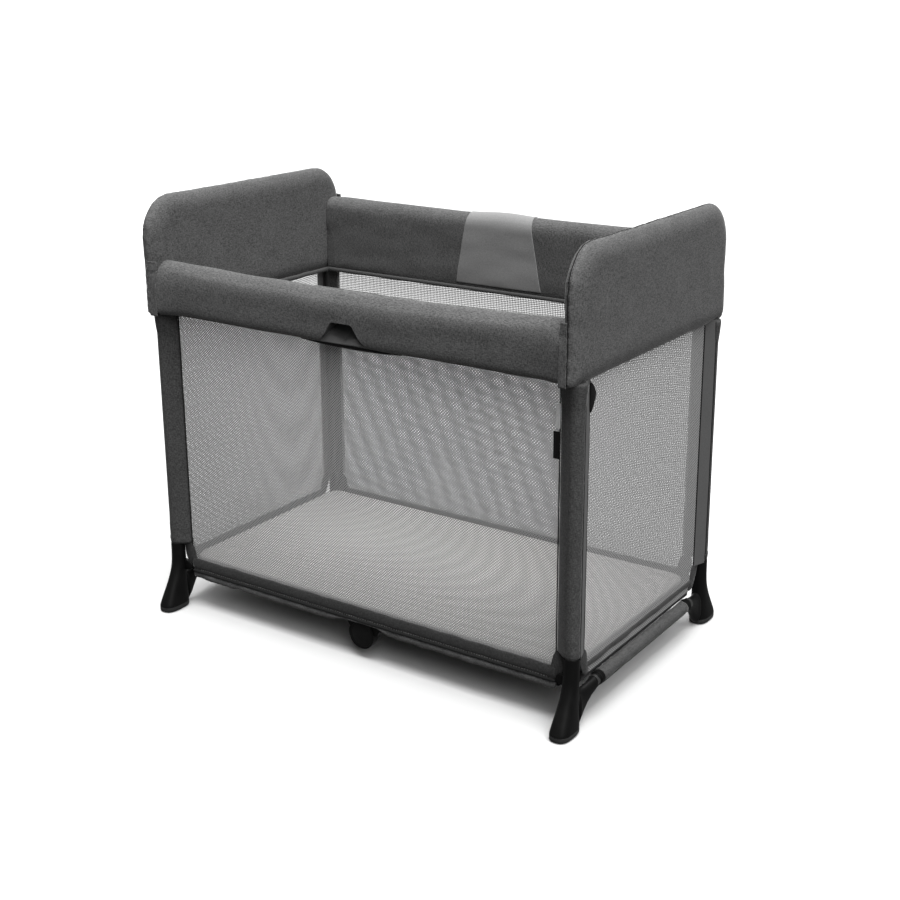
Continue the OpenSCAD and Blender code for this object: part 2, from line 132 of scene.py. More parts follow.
def math_node(tree, operation, a, b):
    return add(tree, "ShaderNodeMath", {0: a, 1: b}, operation=operation).outputs[0]


def plus(tree, a, b):
    return math_node(tree, "ADD", a, b)


def times(tree, a, b):
    return math_node(tree, "MULTIPLY", a, b)


def cosine(tree, value, period):
    angle = times(tree, value, 2 * math.pi / period)
    return add(tree, "ShaderNodeMath", {0: angle}, operation="COSINE").outputs[0]


def object_place(tree):
    return add(tree, "ShaderNodeTexCoord", {}).outputs["Object"]


def place_parts(tree):
    return add(tree, "ShaderNodeSeparateXYZ", {0: object_place(tree)}).outputs


def grain(tree, size, detail=1.0):
    """Noise whose features measure size = (x, y, z) metres."""
    place = add(tree, "ShaderNodeMapping", {"Scale": [1 / s for s in size], "Vector": object_place(tree)})
    return add(tree, "ShaderNodeTexNoise", {"Scale": 1.0, "Detail": detail, "Roughness": 0.5,
                                            "Vector": place.outputs[0]}).outputs["Fac"]


def ramp(tree, factor, stops):
    node = add(tree, "ShaderNodeValToRGB", {"Fac": factor})
    band = node.color_ramp
    while len(band.elements) < len(stops):
        band.elements.new(0.5)
    for element, (place, colour) in zip(band.elements, stops):
        element.position = place
        element.color = (*colour, 1)
    return node.outputs["Color"]


def paint(tree, bsdf, colour, height, distance, strength, **others):
    """Feeds a material's colour, its bump and what else it varies."""
    relief = add(tree, "ShaderNodeBump", {"Distance": distance, "Strength": strength, "Height": height})
    feed(tree, bsdf, {"Base Color": colour, "Normal": relief.outputs[0], **others})


def grey(value, warm=0.0):
    return (value * (1 + warm), value, value * (1 - warm))


def melange(name, dark, light):
    """Woven melange: dark cloth with lighter slubs along the warp and the weft."""
    mat, tree, bsdf = new_material(name, {
        "Roughness": 0.88, "Specular IOR Level": 0.2, "Sheen Weight": 0.16, "Sheen Roughness": 0.25,
        "Sheen Tint": (1, 1, 1, 1)})
    thick, long = MELANGE_THREAD, MELANGE_THREAD * 5
    warp, weft = grain(tree, (thick, thick, long)), grain(tree, (long, long, thick))
    fine = grain(tree, (thick * 0.7,) * 3)
    cloud = grain(tree, (0.05, 0.05, 0.05), 2.0)
    mixed = plus(tree, times(tree, plus(tree, warp, weft), 0.42), times(tree, fine, 0.16))
    shade = plus(tree, mixed, times(tree, cloud, 0.06))
    between = [(a + b) / 2 for a, b in zip(dark, light)]
    paint(tree, bsdf, ramp(tree, shade, [(0.40, dark), (0.53, between), (0.64, light)]), mixed, 0.0008, 0.55)
    return mat


def plain_weave(name, colour, rough=0.7, contrast=0.16):
    """Smooth even cloth, as on the patches, the bindings and the piping."""
    mat, tree, bsdf = new_material(name, {"Roughness": rough, "Specular IOR Level": 0.12, "Sheen Weight": 0.03})
    thick, long = PLAIN_THREAD, PLAIN_THREAD * 3
    both = times(tree, plus(tree, grain(tree, (thick, thick, long)), grain(tree, (long, long, thick))), 0.5)
    dark, light = ([c * share for c in colour] for share in (1 - contrast, 1 + contrast))
    paint(tree, bsdf, ramp(tree, both, [(0.35, dark), (0.65, light)]), both, 0.0003, 0.5)
    return mat


def lattice(tree, u, v, pitch_u, pitch_v):
    """From -1 to 1, and 1 at the points of a staggered lattice, two in each pitch_u by pitch_v."""
    return times(tree, cosine(tree, u, pitch_u), cosine(tree, v, pitch_v))


def net(name, value, open_from=-0.06, open_to=0.76, uneven=0.0012, level=False):
    """Knitted net: staggered round holes that show what is behind, in rows of 4 mm at 47 degrees."""
    mat, tree, bsdf = new_material(name, {"Base Color": (*grey(value), 1), "Roughness": 0.8})
    place = place_parts(tree)
    drift = [times(tree, math_node(tree, "SUBTRACT", grain(tree, size), 0.5), uneven)
             for size in ((0.016, 0.018, 0.022), (0.021, 0.017, 0.015))]
    along = plus(tree, plus(tree, place["X"], place["Y"]), drift[0])
    up = plus(tree, place["Z"], drift[1])
    if level:       # the lattice is turned by 45 degrees, so that its rows are level and upright
        along, up = (times(tree, math_node(tree, how, along, up), 0.7071) for how in ("ADD", "SUBTRACT"))
    hole = add(tree, "ShaderNodeMapRange", {"From Min": open_from, "From Max": open_to,
                                            "Value": lattice(tree, along, up, *NET_PITCH)},
               interpolation_type="SMOOTHSTEP")
    clear = add(tree, "ShaderNodeBsdfTransparent", {})
    mix = add(tree, "ShaderNodeMixShader", {0: hole.outputs["Result"], 1: bsdf.outputs[0], 2: clear.outputs[0]})
    feed(tree, tree.nodes["Material Output"], {"Surface": mix.outputs[0]})
    return mat


def spacer(name, colour):
    """Spacer fabric of the mattress: a pale knit with staggered darker pits."""
    mat, tree, bsdf = new_material(name, {"Roughness": 0.85})
    place = place_parts(tree)
    pit = times(tree, plus(tree, lattice(tree, place["X"], place["Y"], *SPACER_PITCH), 1.0), 0.5)
    cloud = grain(tree, (0.004, 0.004, 0.004), 2.0)
    shade = plus(tree, pit, times(tree, math_node(tree, "SUBTRACT", cloud, 0.5), 0.3))
    dark = [c * 0.5 for c in colour]
    paint(tree, bsdf, ramp(tree, shade, [(0.52, colour), (0.80, dark)]), pit, -0.0008, 0.6)
    return mat


def plastic(name, value, rough=0.42, grainy=0.00035):
    """Moulded plastic with a fine spark-eroded grain."""
    mat, tree, bsdf = new_material(name, {"Specular IOR Level": 0.07})
    fine, soft = grain(tree, (grainy * 2,) * 3, 2.0), grain(tree, (0.02,) * 3, 2.0)
    colour = ramp(tree, soft, [(0.3, grey(value * 0.85)), (0.7, grey(value * 1.15))])
    paint(tree, bsdf, colour, fine, grainy, 0.35, Roughness=plus(tree, times(tree, soft, 0.16), rough - 0.08))
    return mat


def metal(name, colour, rough, metallic=1.0, coat=0.0):
    """Powder-coated or bare tube: fine orange peel and faint handling marks."""
    mat, tree, bsdf = new_material(name, {"Metallic": metallic, "Coat Weight": coat})
    peel, marks = grain(tree, (0.0015,) * 3, 2.0), grain(tree, (0.004, 0.004, 0.06), 3.0)
    tone = ramp(tree, marks, [(0.3, [c * 0.9 for c in colour]), (0.7, colour)])
    paint(tree, bsdf, tone, peel, 0.0003, 0.3, Roughness=plus(tree, times(tree, marks, 0.15), rough - 0.05))
    return mat


def rubber(name):
    mat, tree, bsdf = new_material(name, {"Roughness": 0.8})
    speck = grain(tree, (0.0012,) * 3, 3.0)
    paint(tree, bsdf, ramp(tree, speck, [(0.35, grey(0.003)), (0.7, grey(0.007))]), speck, 0.0004, 0.4)
    return mat


FABRIC = melange("melange_cloth", grey(0.021), grey(0.078))
# painted shade: a darker copy of the same melange cloth, for the sleeves of the legs, the end bars and the
# floor rails
FABRIC_PAINTED_SHADE = melange("melange_cloth_dark", grey(0.013), grey(0.046))
BORDER = melange("border_cloth", grey(0.008), grey(0.032))
PATCH = plain_weave("smooth_patch", grey(0.125))
SEAM_BAND = plain_weave("seam_band", grey(0.052))
PAINTED_SHADE_BLACK = plain_weave("border_flap_cloth", grey(0.006), rough=0.8)
# near-black cloth of the flap under the end borders: painted shade
LINER = plain_weave("grip_liner", grey(0.030), rough=0.55)
BINDING = plain_weave("binding", grey(0.034), contrast=0.25)
PIPING = plain_weave("piping", grey(0.005), rough=0.8)
THREAD = plain_weave("thread", grey(0.022), rough=0.6)
LABEL_BLACK = plain_weave("label_black", grey(0.0015), rough=0.8)
LABEL_PALE = plain_weave("label_pale", grey(0.42), rough=0.6)
NET = net("wall_net", 0.19)
NET_END = net("wall_net_end", 0.17, -0.30, 1.05, 0.0020)
NET_FAR = net("wall_net_far", 0.19, -0.55, 1.30, 0.0020, level=True)
SPACER = spacer("mattress_knit", grey(0.34, 0.025))
BLACK = plastic("black_plastic", 0.0028)
BLACK_FINE = plastic("hub_cap_plastic", 0.0045, 0.40)
TRIGGER = plastic("trigger_plastic", 0.05, 0.35)
TUBE = metal("tube_paint", grey(0.02), 0.4, 0.4, 0.3)
RAIL = metal("rail_aluminium", grey(0.55), 0.35)
STEEL = metal("pin_steel", grey(0.6), 0.25)
RUBBER = rubber("sole_rubber")
BOARD = plastic("board_fibre", 0.03, 0.75, 0.0008)

# ---- Mesh tools ----

SWELL_CAP, SWELL_FRAMES = 0.0030, 20


def make(name, verts, faces, materials, smooth=True):
    mesh = bpy.data.meshes.new(name)
    mesh.from_pydata([tuple(v) for v in verts], [], [tuple(f) for f in faces])
    obj = bpy.data.objects.new(name, mesh)
    bpy.context.scene.collection.objects.link(obj)
    for m in materials if isinstance(materials, (list, tuple)) else [materials]:
        mesh.materials.append(m)
    if smooth:
        mesh.shade_smooth()
    mesh.update()
    return obj


@contextmanager
def editing(obj):
    """The object's mesh as a BMesh, written back when the block ends."""
    bm = bmesh.new()
    bm.from_mesh(obj.data)
    yield bm
    bm.to_mesh(obj.data)
    bm.free()


def tidy_normals(obj):
    with editing(obj) as bm:
        bmesh.ops.recalc_face_normals(bm, faces=bm.faces)


def circle(count):
    """The angles of count even steps round a circle."""
    return [2 * math.pi * k / count for k in range(count)]


def loft(name, rings, materials, caps=True, smooth=True):
    """Skin over closed rings of the same number of points."""
    count = len(rings[0])
    verts = [p for ring in rings for p in ring]
    faces = []
    for r in range(len(rings) - 1):
        for k in range(count):
            a, b = r * count + k, r * count + (k + 1) % count
            faces.append((a, b, b + count, a + count))
    if caps:
        faces.append(tuple(range(count))[::-1])
        faces.append(tuple(range(len(verts) - count, len(verts))))
    obj = make(name, verts, faces, materials, smooth)
    tidy_normals(obj)
    return obj


def tube(name, path, radius, materials, sides=10, closed=False, flat=1.0):
    """Round or flattened bead that follows a path; radius is a number or one per point."""
    path = [Vector(p) for p in path]
    count = len(path)
    up = Vector((0.0123, 0.0321, 1)).normalized()
    rings = []
    for k, p in enumerate(path):
        before = path[k - 1] if k or closed else p
        after = path[(k + 1) % count] if k < count - 1 or closed else p
        ahead = (after - before).normalized()
        side = ahead.cross(up)
        if side.length < 0.2:
            side = ahead.cross(Vector((0, 1, 0.01)))
        side.normalize()
        top = side.cross(ahead)
        r = radius[k] if isinstance(radius, (list, tuple)) else radius
        rings.append([p + side * (r * math.cos(t)) + top * (r * flat * math.sin(t))
                      for t in circle(sides)])
    if closed:
        rings.append(rings[0])
    return loft(name, rings, materials, caps=not closed)


def turned(name, profile, axis_point, axis, materials, sides=48):
    """Lathe: profile is (distance along the axis, radius) from axis_point."""
    axis = Vector(axis).normalized()
    side = axis.orthogonal().normalized()
    other = axis.cross(side)
    rings = [[Vector(axis_point) + axis * a + (side * math.cos(t) + other * math.sin(t)) * max(r, 1e-5)
              for t in circle(sides)] for a, r in profile]
    return loft(name, rings, materials)


def modify(obj, kind, **settings):
    """Adds a modifier with these settings and bakes it into the mesh."""
    mod = obj.modifiers.new(kind.lower(), kind)
    for key, value in settings.items():
        setattr(mod, key, value)
    graph = bpy.context.evaluated_depsgraph_get()
    mesh = bpy.data.meshes.new_from_object(obj.evaluated_get(graph))
    obj.modifiers.clear()
    obj.data = mesh


def bevel(obj, width, segments, angle):
    modify(obj, "BEVEL", width=width, segments=segments, limit_method="ANGLE", angle_limit=math.radians(angle))


def plate(name, outline, plane, place, thickness, materials, edge=0.0015, segments=3):
    """Flat outline drawn out by thickness; plane maps (u, v, w) to a point."""
    lower = [plane(u, v, place) for u, v in outline]
    upper = [plane(u, v, place + thickness) for u, v in outline]
    obj = loft(name, [lower, upper], materials, smooth=False)
    if edge:
        bevel(obj, edge, segments, 30)
    obj.data.shade_smooth()
    keep_edges(obj, 35)
    return obj


def keep_edges(obj, angle):
    """Marks edges sharper than the angle, so that flat faces stay flat under smooth shading."""
    with editing(obj) as bm:
        for e in bm.edges:
            e.smooth = not (len(e.link_faces) == 2 and e.calc_face_angle(0) > math.radians(angle))


def points(obj):
    out = np.empty(len(obj.data.vertices) * 3)
    obj.data.vertices.foreach_get("co", out)
    return out.reshape(-1, 3)


def set_points(obj, where):
    obj.data.vertices.foreach_set("co", np.asarray(where, float).ravel())
    obj.data.update()


def puff(obj, voxel, pressure):
    """Even soft skin of the shape, swollen as padding swells its cloth."""
    modify(obj, "REMESH", mode="VOXEL", voxel_size=voxel, use_smooth_shade=True)
    modify(obj, "SMOOTH", factor=0.5, iterations=2)
    swell(obj, pressure)


def swell(obj, pressure):
    """Cloth under inner pressure, with no point moving further than SWELL_CAP."""
    rest = points(obj)
    mod = obj.modifiers.new("cloth", "CLOTH")
    cloth = mod.settings
    cloth.use_pressure, cloth.uniform_pressure_force = True, pressure
    cloth.tension_stiffness = cloth.compression_stiffness = 12.0
    cloth.shear_stiffness, cloth.bending_stiffness = 6.0, 2.0
    cloth.quality = 5
    cloth.effector_weights.gravity = 0
    mod.collision_settings.use_collision = False
    scene = bpy.context.scene
    for f in range(1, SWELL_FRAMES + 1):
        scene.frame_set(f)
    graph = bpy.context.evaluated_depsgraph_get()
    done = obj.evaluated_get(graph).to_mesh()
    moved = np.empty(len(done.vertices) * 3)
    done.vertices.foreach_get("co", moved)
    step = moved.reshape(-1, 3) - rest
    far = np.linalg.norm(step, axis=1, keepdims=True)
    step *= np.tanh(far / SWELL_CAP) * SWELL_CAP / np.maximum(far, 1e-9)
    obj.modifiers.clear()
    set_points(obj, rest + step)
    scene.frame_set(1)


def refine(obj):
    modify(obj, "SUBSURF", levels=1, render_levels=1)
    obj.data.shade_smooth()


def thicken(obj, thickness, offset):
    modify(obj, "SOLIDIFY", thickness=thickness, offset=offset)


def cut(obj, point, normal, close=False):
    """Keeps the part of the mesh on the side that normal points to."""
    with editing(obj) as bm:
        geom = bm.verts[:] + bm.edges[:] + bm.faces[:]
        got = bmesh.ops.bisect_plane(bm, geom=geom, dist=1e-6, plane_co=point, plane_no=normal,
                                     clear_inner=True)
        if close:
            edges = [e for e in got["geom_cut"] if isinstance(e, bmesh.types.BMEdge)]
            bmesh.ops.holes_fill(bm, edges=edges, sides=0)
    obj.data.update()


def copy_of(obj, name):
    new = obj.copy()
    new.data = obj.data.copy()
    new.name = new.data.name = name
    bpy.context.scene.collection.objects.link(new)
    return new


def corner_copy(obj, name, sx, sy):
    """Copy of a rear right piece at another corner."""
    new = copy_of(obj, name)
    set_points(new, points(new) * (sx, sy, 1))
    if sx * sy < 0:
        new.data.flip_normals()
    return new


def settle(obj, body, slot, *nodes):
    """The piece rides on its body and stands for its CAD nodes; slot, the name of its finish, is not used."""
    if body:
        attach(obj, body)
    if nodes:
        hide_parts(*nodes)
    return obj


def fit_box(obj, low_corner, high_corner):
    """Stretches the mesh so that its box has these corners; None keeps an axis."""
    where = points(obj)
    a, b = where.min(0), where.max(0)
    for k in range(3):
        if low_corner[k] is not None:
            share = (where[:, k] - a[k]) / (b[k] - a[k])
            where[:, k] = low_corner[k] + share * (high_corner[k] - low_corner[k])
    set_points(obj, where)


def skin_of(obj):
    return BVHTree.FromPolygons([v.co for v in obj.data.vertices], [p.vertices for p in obj.data.polygons])


def laid_on(obj, path, lift=0.0):
    """The path's points moved to the nearest places on the object's skin."""
    skin = skin_of(obj)
    found = [skin.find_nearest(Vector(p)) for p in path]
    return [place + normal * lift for place, normal, _, _ in found]


def stitches(name, path):
    """Row of single stitches along a path, as one mesh."""
    length, gap, radius = 0.0034, 0.0022, 0.00045
    path = dense(path, 0.0006)
    verts, faces, k = [], [], 0
    while k < len(path) - 2:
        start, last = k, k
        while last < len(path) - 1 and (path[last] - path[start]).length < length:
            last += 1
        ahead = (path[last] - path[start]).normalized()
        side = ahead.orthogonal().normalized() * radius
        other = ahead.cross(side).normalized() * radius
        base = len(verts)
        for t, r in ((0.0, 0.45), (0.25, 1.0), (0.75, 1.0), (1.0, 0.45)):
            centre = path[start].lerp(path[last], t)
            verts += [centre + side * r, centre + other * r, centre - side * r, centre - other * r]
        for row in range(3):
            for c in range(4):
                a, b = base + row * 4 + c, base + row * 4 + (c + 1) % 4
                faces.append((a, b, b + 4, a + 4))
        faces += [tuple(base + c for c in (3, 2, 1, 0)), tuple(base + 12 + c for c in range(4))]
        k = last
        while k < len(path) - 1 and (path[k] - path[last]).length < gap:
            k += 1
    return make(name, verts, faces, THREAD)


def rounded(outline, times):
    """Corner cutting (Chaikin), for a soft closed outline."""
    for _ in range(times):
        outline = [(a[0] * t + b[0] * (1 - t), a[1] * t + b[1] * (1 - t))
                   for a, b in zip(outline, outline[1:] + outline[:1]) for t in (0.75, 0.25)]
    return outline


def arc(cx, cy, r, a0, a1, steps):
    """Points of an arc from angle a0 to a1, in degrees."""
    return [(cx + r * math.cos(math.radians(a0 + (a1 - a0) * k / steps)),
             cy + r * math.sin(math.radians(a0 + (a1 - a0) * k / steps))) for k in range(steps + 1)]


def rumple(where, amount, size, seed=0.0):
    """Smooth random offsets, amount metres high and size = (x, y, z) metres wide."""
    scale = np.array([1 / s for s in size])
    return np.array([noise.noise(Vector(p * scale) + Vector((seed, seed * 1.7, seed * 0.6)))
                     for p in where]) * amount


def along_normals(obj, amount):
    normals = np.empty(len(obj.data.vertices) * 3)
    obj.data.vertex_normals.foreach_get("vector", normals)
    set_points(obj, points(obj) + normals.reshape(-1, 3) * np.asarray(amount).reshape(-1, 1))


# ---- End panels ----


def panel_outline(inset=0.0, foot=0.004, steps=12):
    """(y, z) outline of a panel, from the front foot up and over to the rear foot."""
    half, top, r = PANEL_HALF - inset, HEIGHT - inset, CORNER_R - inset
    z0 = BAND_Z + inset
    left = arc(-(half - r), top - r, r, 180, 90, steps)
    right = arc(half - r, top - r, r, 90, 0, steps)
    return ([(-half + foot, z0), (-half, z0 + foot)] + left + right
            + [(half, z0 + foot), (half - foot, z0)])


# depth from the left face and inset of the outline: full edges, the right one fuller
PANEL_ROWS = [(0.0, 0.044), (0.0, 0.020), (0.0008, 0.0125), (0.0026, 0.0072), (0.0056, 0.0030),
              (0.0090, 0.0008), (0.0120, 0.0), (0.0180, 0.0), (0.0230, 0.0016), (0.0275, 0.0052),
              (0.0312, 0.0105), (0.0338, 0.0170), (0.0354, 0.0250), (0.0360, 0.0340), (0.0360, 0.0480)]
SEAM_DEPTH = {1: 0.0140, -1: 0.0052}       # each panel's seam, from its left face


def panel_pad():
    """Padded slab whose face rolls over its edge to a puckered seam."""
    rings = [[(PANEL_IN + depth, y, z) for y, z in panel_outline(inset)] for depth, inset in PANEL_ROWS]
    pad = loft("panel_pad_right", rings, FABRIC)
    puff(pad, 0.005, 5.0)
    fit_box(pad, (PANEL_IN, -PANEL_HALF, BAND_Z), (PANEL_OUT, PANEL_HALF, HEIGHT))
    refine(pad)
    where = points(pad)
    depth = where[:, 0] - (PANEL_IN + SEAM_DEPTH[1])
    rim = np.minimum(PANEL_HALF - np.abs(where[:, 1]), HEIGHT - where[:, 2])
    crease = np.exp(-(depth / 0.0028) ** 2) * (rim < 0.004)
    near = np.exp(-(depth / 0.010) ** 2) * (rim < 0.020)
    along_normals(pad, rumple(where, 0.0008, (0.05, 0.05, 0.05), 3.1) - 0.0012 * crease
                  + rumple(where, 0.0012, (0.03, 0.011, 0.011), 9.0) * near)
    return pad


def panel_seams(sx, pad):
    """Dark seam and stitches round the panel's left edge, and the hem bead at its foot inside."""
    body = END_BODY[sx]
    left = PANEL_IN if sx > 0 else -PANEL_OUT

    def round_edge(depth, lift):
        path = dense([(left + depth, y, z) for y, z in panel_outline()[1:-1]], 0.004)
        return laid_on(pad, path, lift)

    seam = tube("panel_seam_" + END_NAME[sx], round_edge(SEAM_DEPTH[sx], 0.0), 0.0012, PIPING, 8)
    dots = stitches("panel_stitches_" + END_NAME[sx], round_edge(SEAM_DEPTH[sx] + 0.0036, 0.0002))
    reach = COVER_IN - 0.001
    inner = sx * (PANEL_IN - 0.0014)
    bead = [(inner, y, BAND_Z + 0.0055 + 0.0012 * noise.noise(Vector((y / 0.03, 4.0, 0))))
            for y in spread(-reach, reach, 90)]
    hem = tube("panel_hem_" + END_NAME[sx], bead, 0.0034, BINDING, flat=1.5)
    for piece in (seam, dots, hem):
        settle(piece, body, "melange_fabric")


def spread(a, b, count):
    return [a + (b - a) * k / (count - 1) for k in range(count)]


def dense(path, step):
    """The same path with points at most step apart."""
    out = [Vector(path[0])]
    for a, b in zip(path, path[1:]):
        a, b = Vector(a), Vector(b)
        count = max(1, math.ceil((b - a).length / step))
        out += [a.lerp(b, (k + 1) / count) for k in range(count)]
    return out


def corner_skin(sx, sy, pad):
    """The cover's cloth where it runs on over the panel's edge, up to the panel's seam."""
    top = (FRONT_TOP if sy < 0 else REAR_TOP) - 0.0030
    skin = skin_of(pad)
    start = sx * (PANEL_IN - 0.0012)
    end = (PANEL_IN if sx > 0 else -PANEL_OUT) + SEAM_DEPTH[sx]
    crest = sx * (PANEL_IN + PANEL_OUT) / 2
    columns, levels = (12 if sx > 0 else 24), 56
    verts = []
    for j in range(levels + 1):
        z = BAND_Z + 0.0004 + (top - BAND_Z) * j / levels
        over = min(max(z - (top - 0.049), 0.0) / 0.049, 1.0)
        outline = COVER_OUT + 0.0078 - 0.0275 * (1 - math.sqrt(1 - over * over))
        lap = 1 - ease((z - top + 0.034) / 0.024)
        for i in range(columns + 1):
            x = start + (end - start) * i / columns
            place, normal, _, _ = skin.find_nearest(Vector((x, sy * (PANEL_HALF + 0.01), z)))
            p = place + normal * (0.0014 * lap - 0.0006)
            if abs(x) < abs(crest):
                p = Vector((x, sy * max(abs(place.y) + 0.0014 * lap - 0.0006, outline), z))
            verts.append(p)
    across = columns + 1
    faces = [(j * across + i, j * across + i + 1, (j + 1) * across + i + 1, (j + 1) * across + i)
             for j in range(levels) for i in range(columns)]
    piece = make("corner_skin_" + CODE[sx, sy], verts, faces, FABRIC)
    thicken(piece, 0.0012, 0)
    tidy_normals(piece)
    piece.data.shade_smooth()
    settle(piece, END_BODY[sx], "melange_fabric")


def ease(t):
    t = min(max(t, 0.0), 1.0)
    return t * t * (3 - 2 * t)


# ---- Rail covers ----

SAG = 0.009               # the front cover's crest hangs this much lower in the middle
GRIP_LOW, GRIP_HIGH, GRIP_H = 0.064, 0.030, 0.046


def cover_body(sy):
    """The padded sleeve round a top rail, over its whole length."""
    top = FRONT_TOP if sy < 0 else REAR_TOP
    y0, y1, z0, z1 = COVER_IN, COVER_OUT, BAND_Z, top
    r_top, r_foot = 0.0245, 0.007
    crest = y0 + r_top
    section = (arc(y0 + r_foot, z0 + r_foot, r_foot, 270, 180, 4)
               + arc(crest, z1 - r_top, r_top, 180, 90, 8)
               + [(crest + (y1 - crest) * math.sin(t), z1 - 0.052 * (1 - math.cos(t)))
                  for t in spread(0.08, math.pi / 2, 12)]
               + arc(y1 - r_foot, z0 + r_foot, r_foot, 0, -90, 4))
    reach, spare = PANEL_IN - 0.0004, 0.016
    stations = spread(-reach - spare, reach + spare, 87)
    body = loft("cover_body_" + ROW_NAME[sy], [[(x, sy * y, z) for y, z in section] for x in stations], FABRIC)
    puff(body, 0.0055, 4.0)
    ys = sorted((sy * y0, sy * y1))
    fit_box(body, (None, ys[0], BAND_Z), (None, ys[1], top))
    refine(body)
    for sx in SIDES:
        cut(body, (sx * reach, 0, 0), (-sx, 0, 0), close=True)
    where = points(body)
    share = np.clip((where[:, 2] - BAND_Z) / (top - BAND_Z), 0, 1)
    bow = np.clip(1 - (where[:, 0] / reach) ** 2, 0, 1)
    near_end = np.clip(1 - (reach - np.abs(where[:, 0])) / 0.06, 0, 1) ** 2
    if sy < 0:
        where[:, 2] -= SAG * bow * share ** 1.5
    else:
        where[:, 2] += (0.0040 * np.exp(-((where[:, 0] - 0.016) / 0.055) ** 2) - 0.0035 * bow) * share ** 2
    where[:, 2] -= 0.0035 * near_end * share ** 2
    outward = np.clip((np.abs(where[:, 1]) - LEG_Y) / (COVER_OUT - LEG_Y), 0, 1)
    where[:, 1] += sy * 0.0078 * near_end * outward
    set_points(body, where)
    along_normals(body, rumple(where, 0.0014, (0.09, 0.06, 0.035), 1.3 + sy)
                  + rumple(where, 0.0012, (0.012, 0.05, 0.05), 6.0) * near_end)
    return body


def grip_cutter(sy):
    """Wedge that opens the grip in the outer face; its floor becomes the smooth liner."""
    side = [(GRIP_LOW, BAND_Z - 0.010), (GRIP_LOW - 0.004, BAND_Z + 0.003), (GRIP_LOW - 0.013, BAND_Z + 0.012),
            (GRIP_HIGH + 0.011, BAND_Z + 0.022), (GRIP_HIGH + 0.003, BAND_Z + 0.034)]
    side += arc(GRIP_HIGH - 0.010, BAND_Z + GRIP_H - 0.010, 0.010, 15, 90, 4)
    outline = side + [(-x, z) for x, z in reversed(side)]
    outer = COVER_OUT + 0.02
    inner = []
    for x, z in outline:
        t = min(max((z - BAND_Z) / GRIP_H, 0), 1)
        inner.append((x * (1 - 0.10 * t), COVER_OUT - 0.003 - 0.010 * t - 0.030 * ease((t - 0.45) / 0.45), z))
    rings = [[(x, sy * outer, z) for x, z in outline], [(x, sy * y, z) for x, y, z in inner]]
    return loft("grip_cutter", rings, LINER, smooth=False)


def open_grip(body, sy):
    cutter = grip_cutter(sy)
    body.data.materials.append(LINER)
    modify(body, "BOOLEAN", operation="DIFFERENCE", solver="EXACT", object=cutter, material_mode="TRANSFER")
    bpy.data.objects.remove(cutter)


def hinge_patch(body, sy, name):
    """Smooth patch over the middle hinge: a copy of the cover's skin cut to a trapezium."""
    patch = copy_of(body, name)
    patch.data.materials.clear()
    patch.data.materials.append(PATCH)
    half_top, half_low, foot = 0.079, 0.108, BAND_Z + 0.016
    top = FRONT_TOP if sy < 0 else REAR_TOP
    for s in SIDES:
        slope = Vector((top - foot, 0, s * (half_low - half_top)))
        cut(patch, (s * half_low, 0, foot), (-s * slope.x, 0, -abs(slope.z)))
    cut(patch, (0, 0, foot), (0, 0, 1))
    if sy > 0:
        cut(patch, (0, COVER_OUT - 0.015, 0), (0, -1, 0))
    else:
        cut(patch, (0, -(COVER_IN + 0.020), 0), (0, 1, 0))
    along_normals(patch, 0.0012)
    thicken(patch, 0.0011, -1)
    return patch


def halves(obj, name, close=True):
    """Splits a piece at the middle of the cot: {side: half}."""
    out = {}
    for sx in SIDES:
        out[sx] = copy_of(obj, name + "_" + END_NAME[sx])
        cut(out[sx], (0, 0, 0), (sx, 0, 0), close)
        if close:
            keep_edges(out[sx], 60)
    bpy.data.objects.remove(obj)
    return out


def crush_rail(piece, sx, sy):
    """A rail's soft piece rides on the rail, with its own copy of the mesh."""
    body = "rail_%s_%s" % (ROW_NAME[sy], END_NAME[sx])
    settle(piece, body, "melange_fabric")
    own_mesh(piece)


def rail_covers(sy):
    body = cover_body(sy)
    row = ROW_NAME[sy]
    patch = hinge_patch(body, sy, "hinge_patch_" + row)
    open_grip(body, sy)
    for sx, piece in halves(body, "cover_" + row).items():
        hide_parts("cover_" + CODE[sx, sy])
        crush_rail(piece, sx, sy)
    for sx, piece in halves(patch, "hinge_patch_" + row, close=False).items():
        crush_rail(piece, sx, sy)
    # ribbed trim under the grip, and the hem bead along the inner lower edge
    xs = spread(-0.110, 0.130, 161)
    trim = tube("grip_trim_" + row, [(x, sy * (COVER_OUT - 0.0150), BAND_Z + 0.0010) for x in xs],
                [0.0046 * math.sin(math.pi * (0.01 + 0.98 * k / 160)) ** 0.8 * (1 + 0.10 * (k % 2)) + 0.0002
                 for k in range(161)], PIPING, flat=1.1)
    reach = PANEL_IN - 0.004
    hem = tube("cover_hem_" + row,
               [(x, sy * (COVER_IN - 0.001), BAND_Z + 0.006) for x in spread(-reach, reach, 95)],
               0.0030, BINDING, flat=1.5)
    for piece, name in ((trim, "grip_trim_"), (hem, "cover_hem_")):
        for sx, half in halves(piece, name + row).items():
            crush_rail(half, sx, sy)


# ---- Legs ----


def wrap_section(grow=0.0, steps=14):
    """(x, y) contour of the cloth round the rear right leg, from the side wall's seam to the end band."""
    r = COLUMN_R + grow
    inner_x, inner_y = WALL_END - 0.0035, WALL_Y + 0.0012 + grow
    start = tangent(inner_x, inner_y, r, -1)
    stop = tangent(WALL_X + 0.0012, END_WALL_HALF, r, 1)
    path = arc(LEG_X, LEG_Y, r, start % 360, stop, steps)
    foot_x, foot_y = path[-1]
    path += [(foot_x - 0.0015, foot_y - 0.0035), (foot_x - 0.0055, foot_y - 0.0030)]
    path += [(inner_x, inner_y - 0.0028 - grow), (inner_x, inner_y)]
    return path


def tangent(px, py, r, turn):
    """Angle, in degrees, where the line from (px, py) touches a circle of radius r round the leg."""
    dx, dy = px - LEG_X, py - LEG_Y
    return math.degrees(math.atan2(dy, dx)) + turn * math.degrees(math.acos(r / math.hypot(dx, dy)))


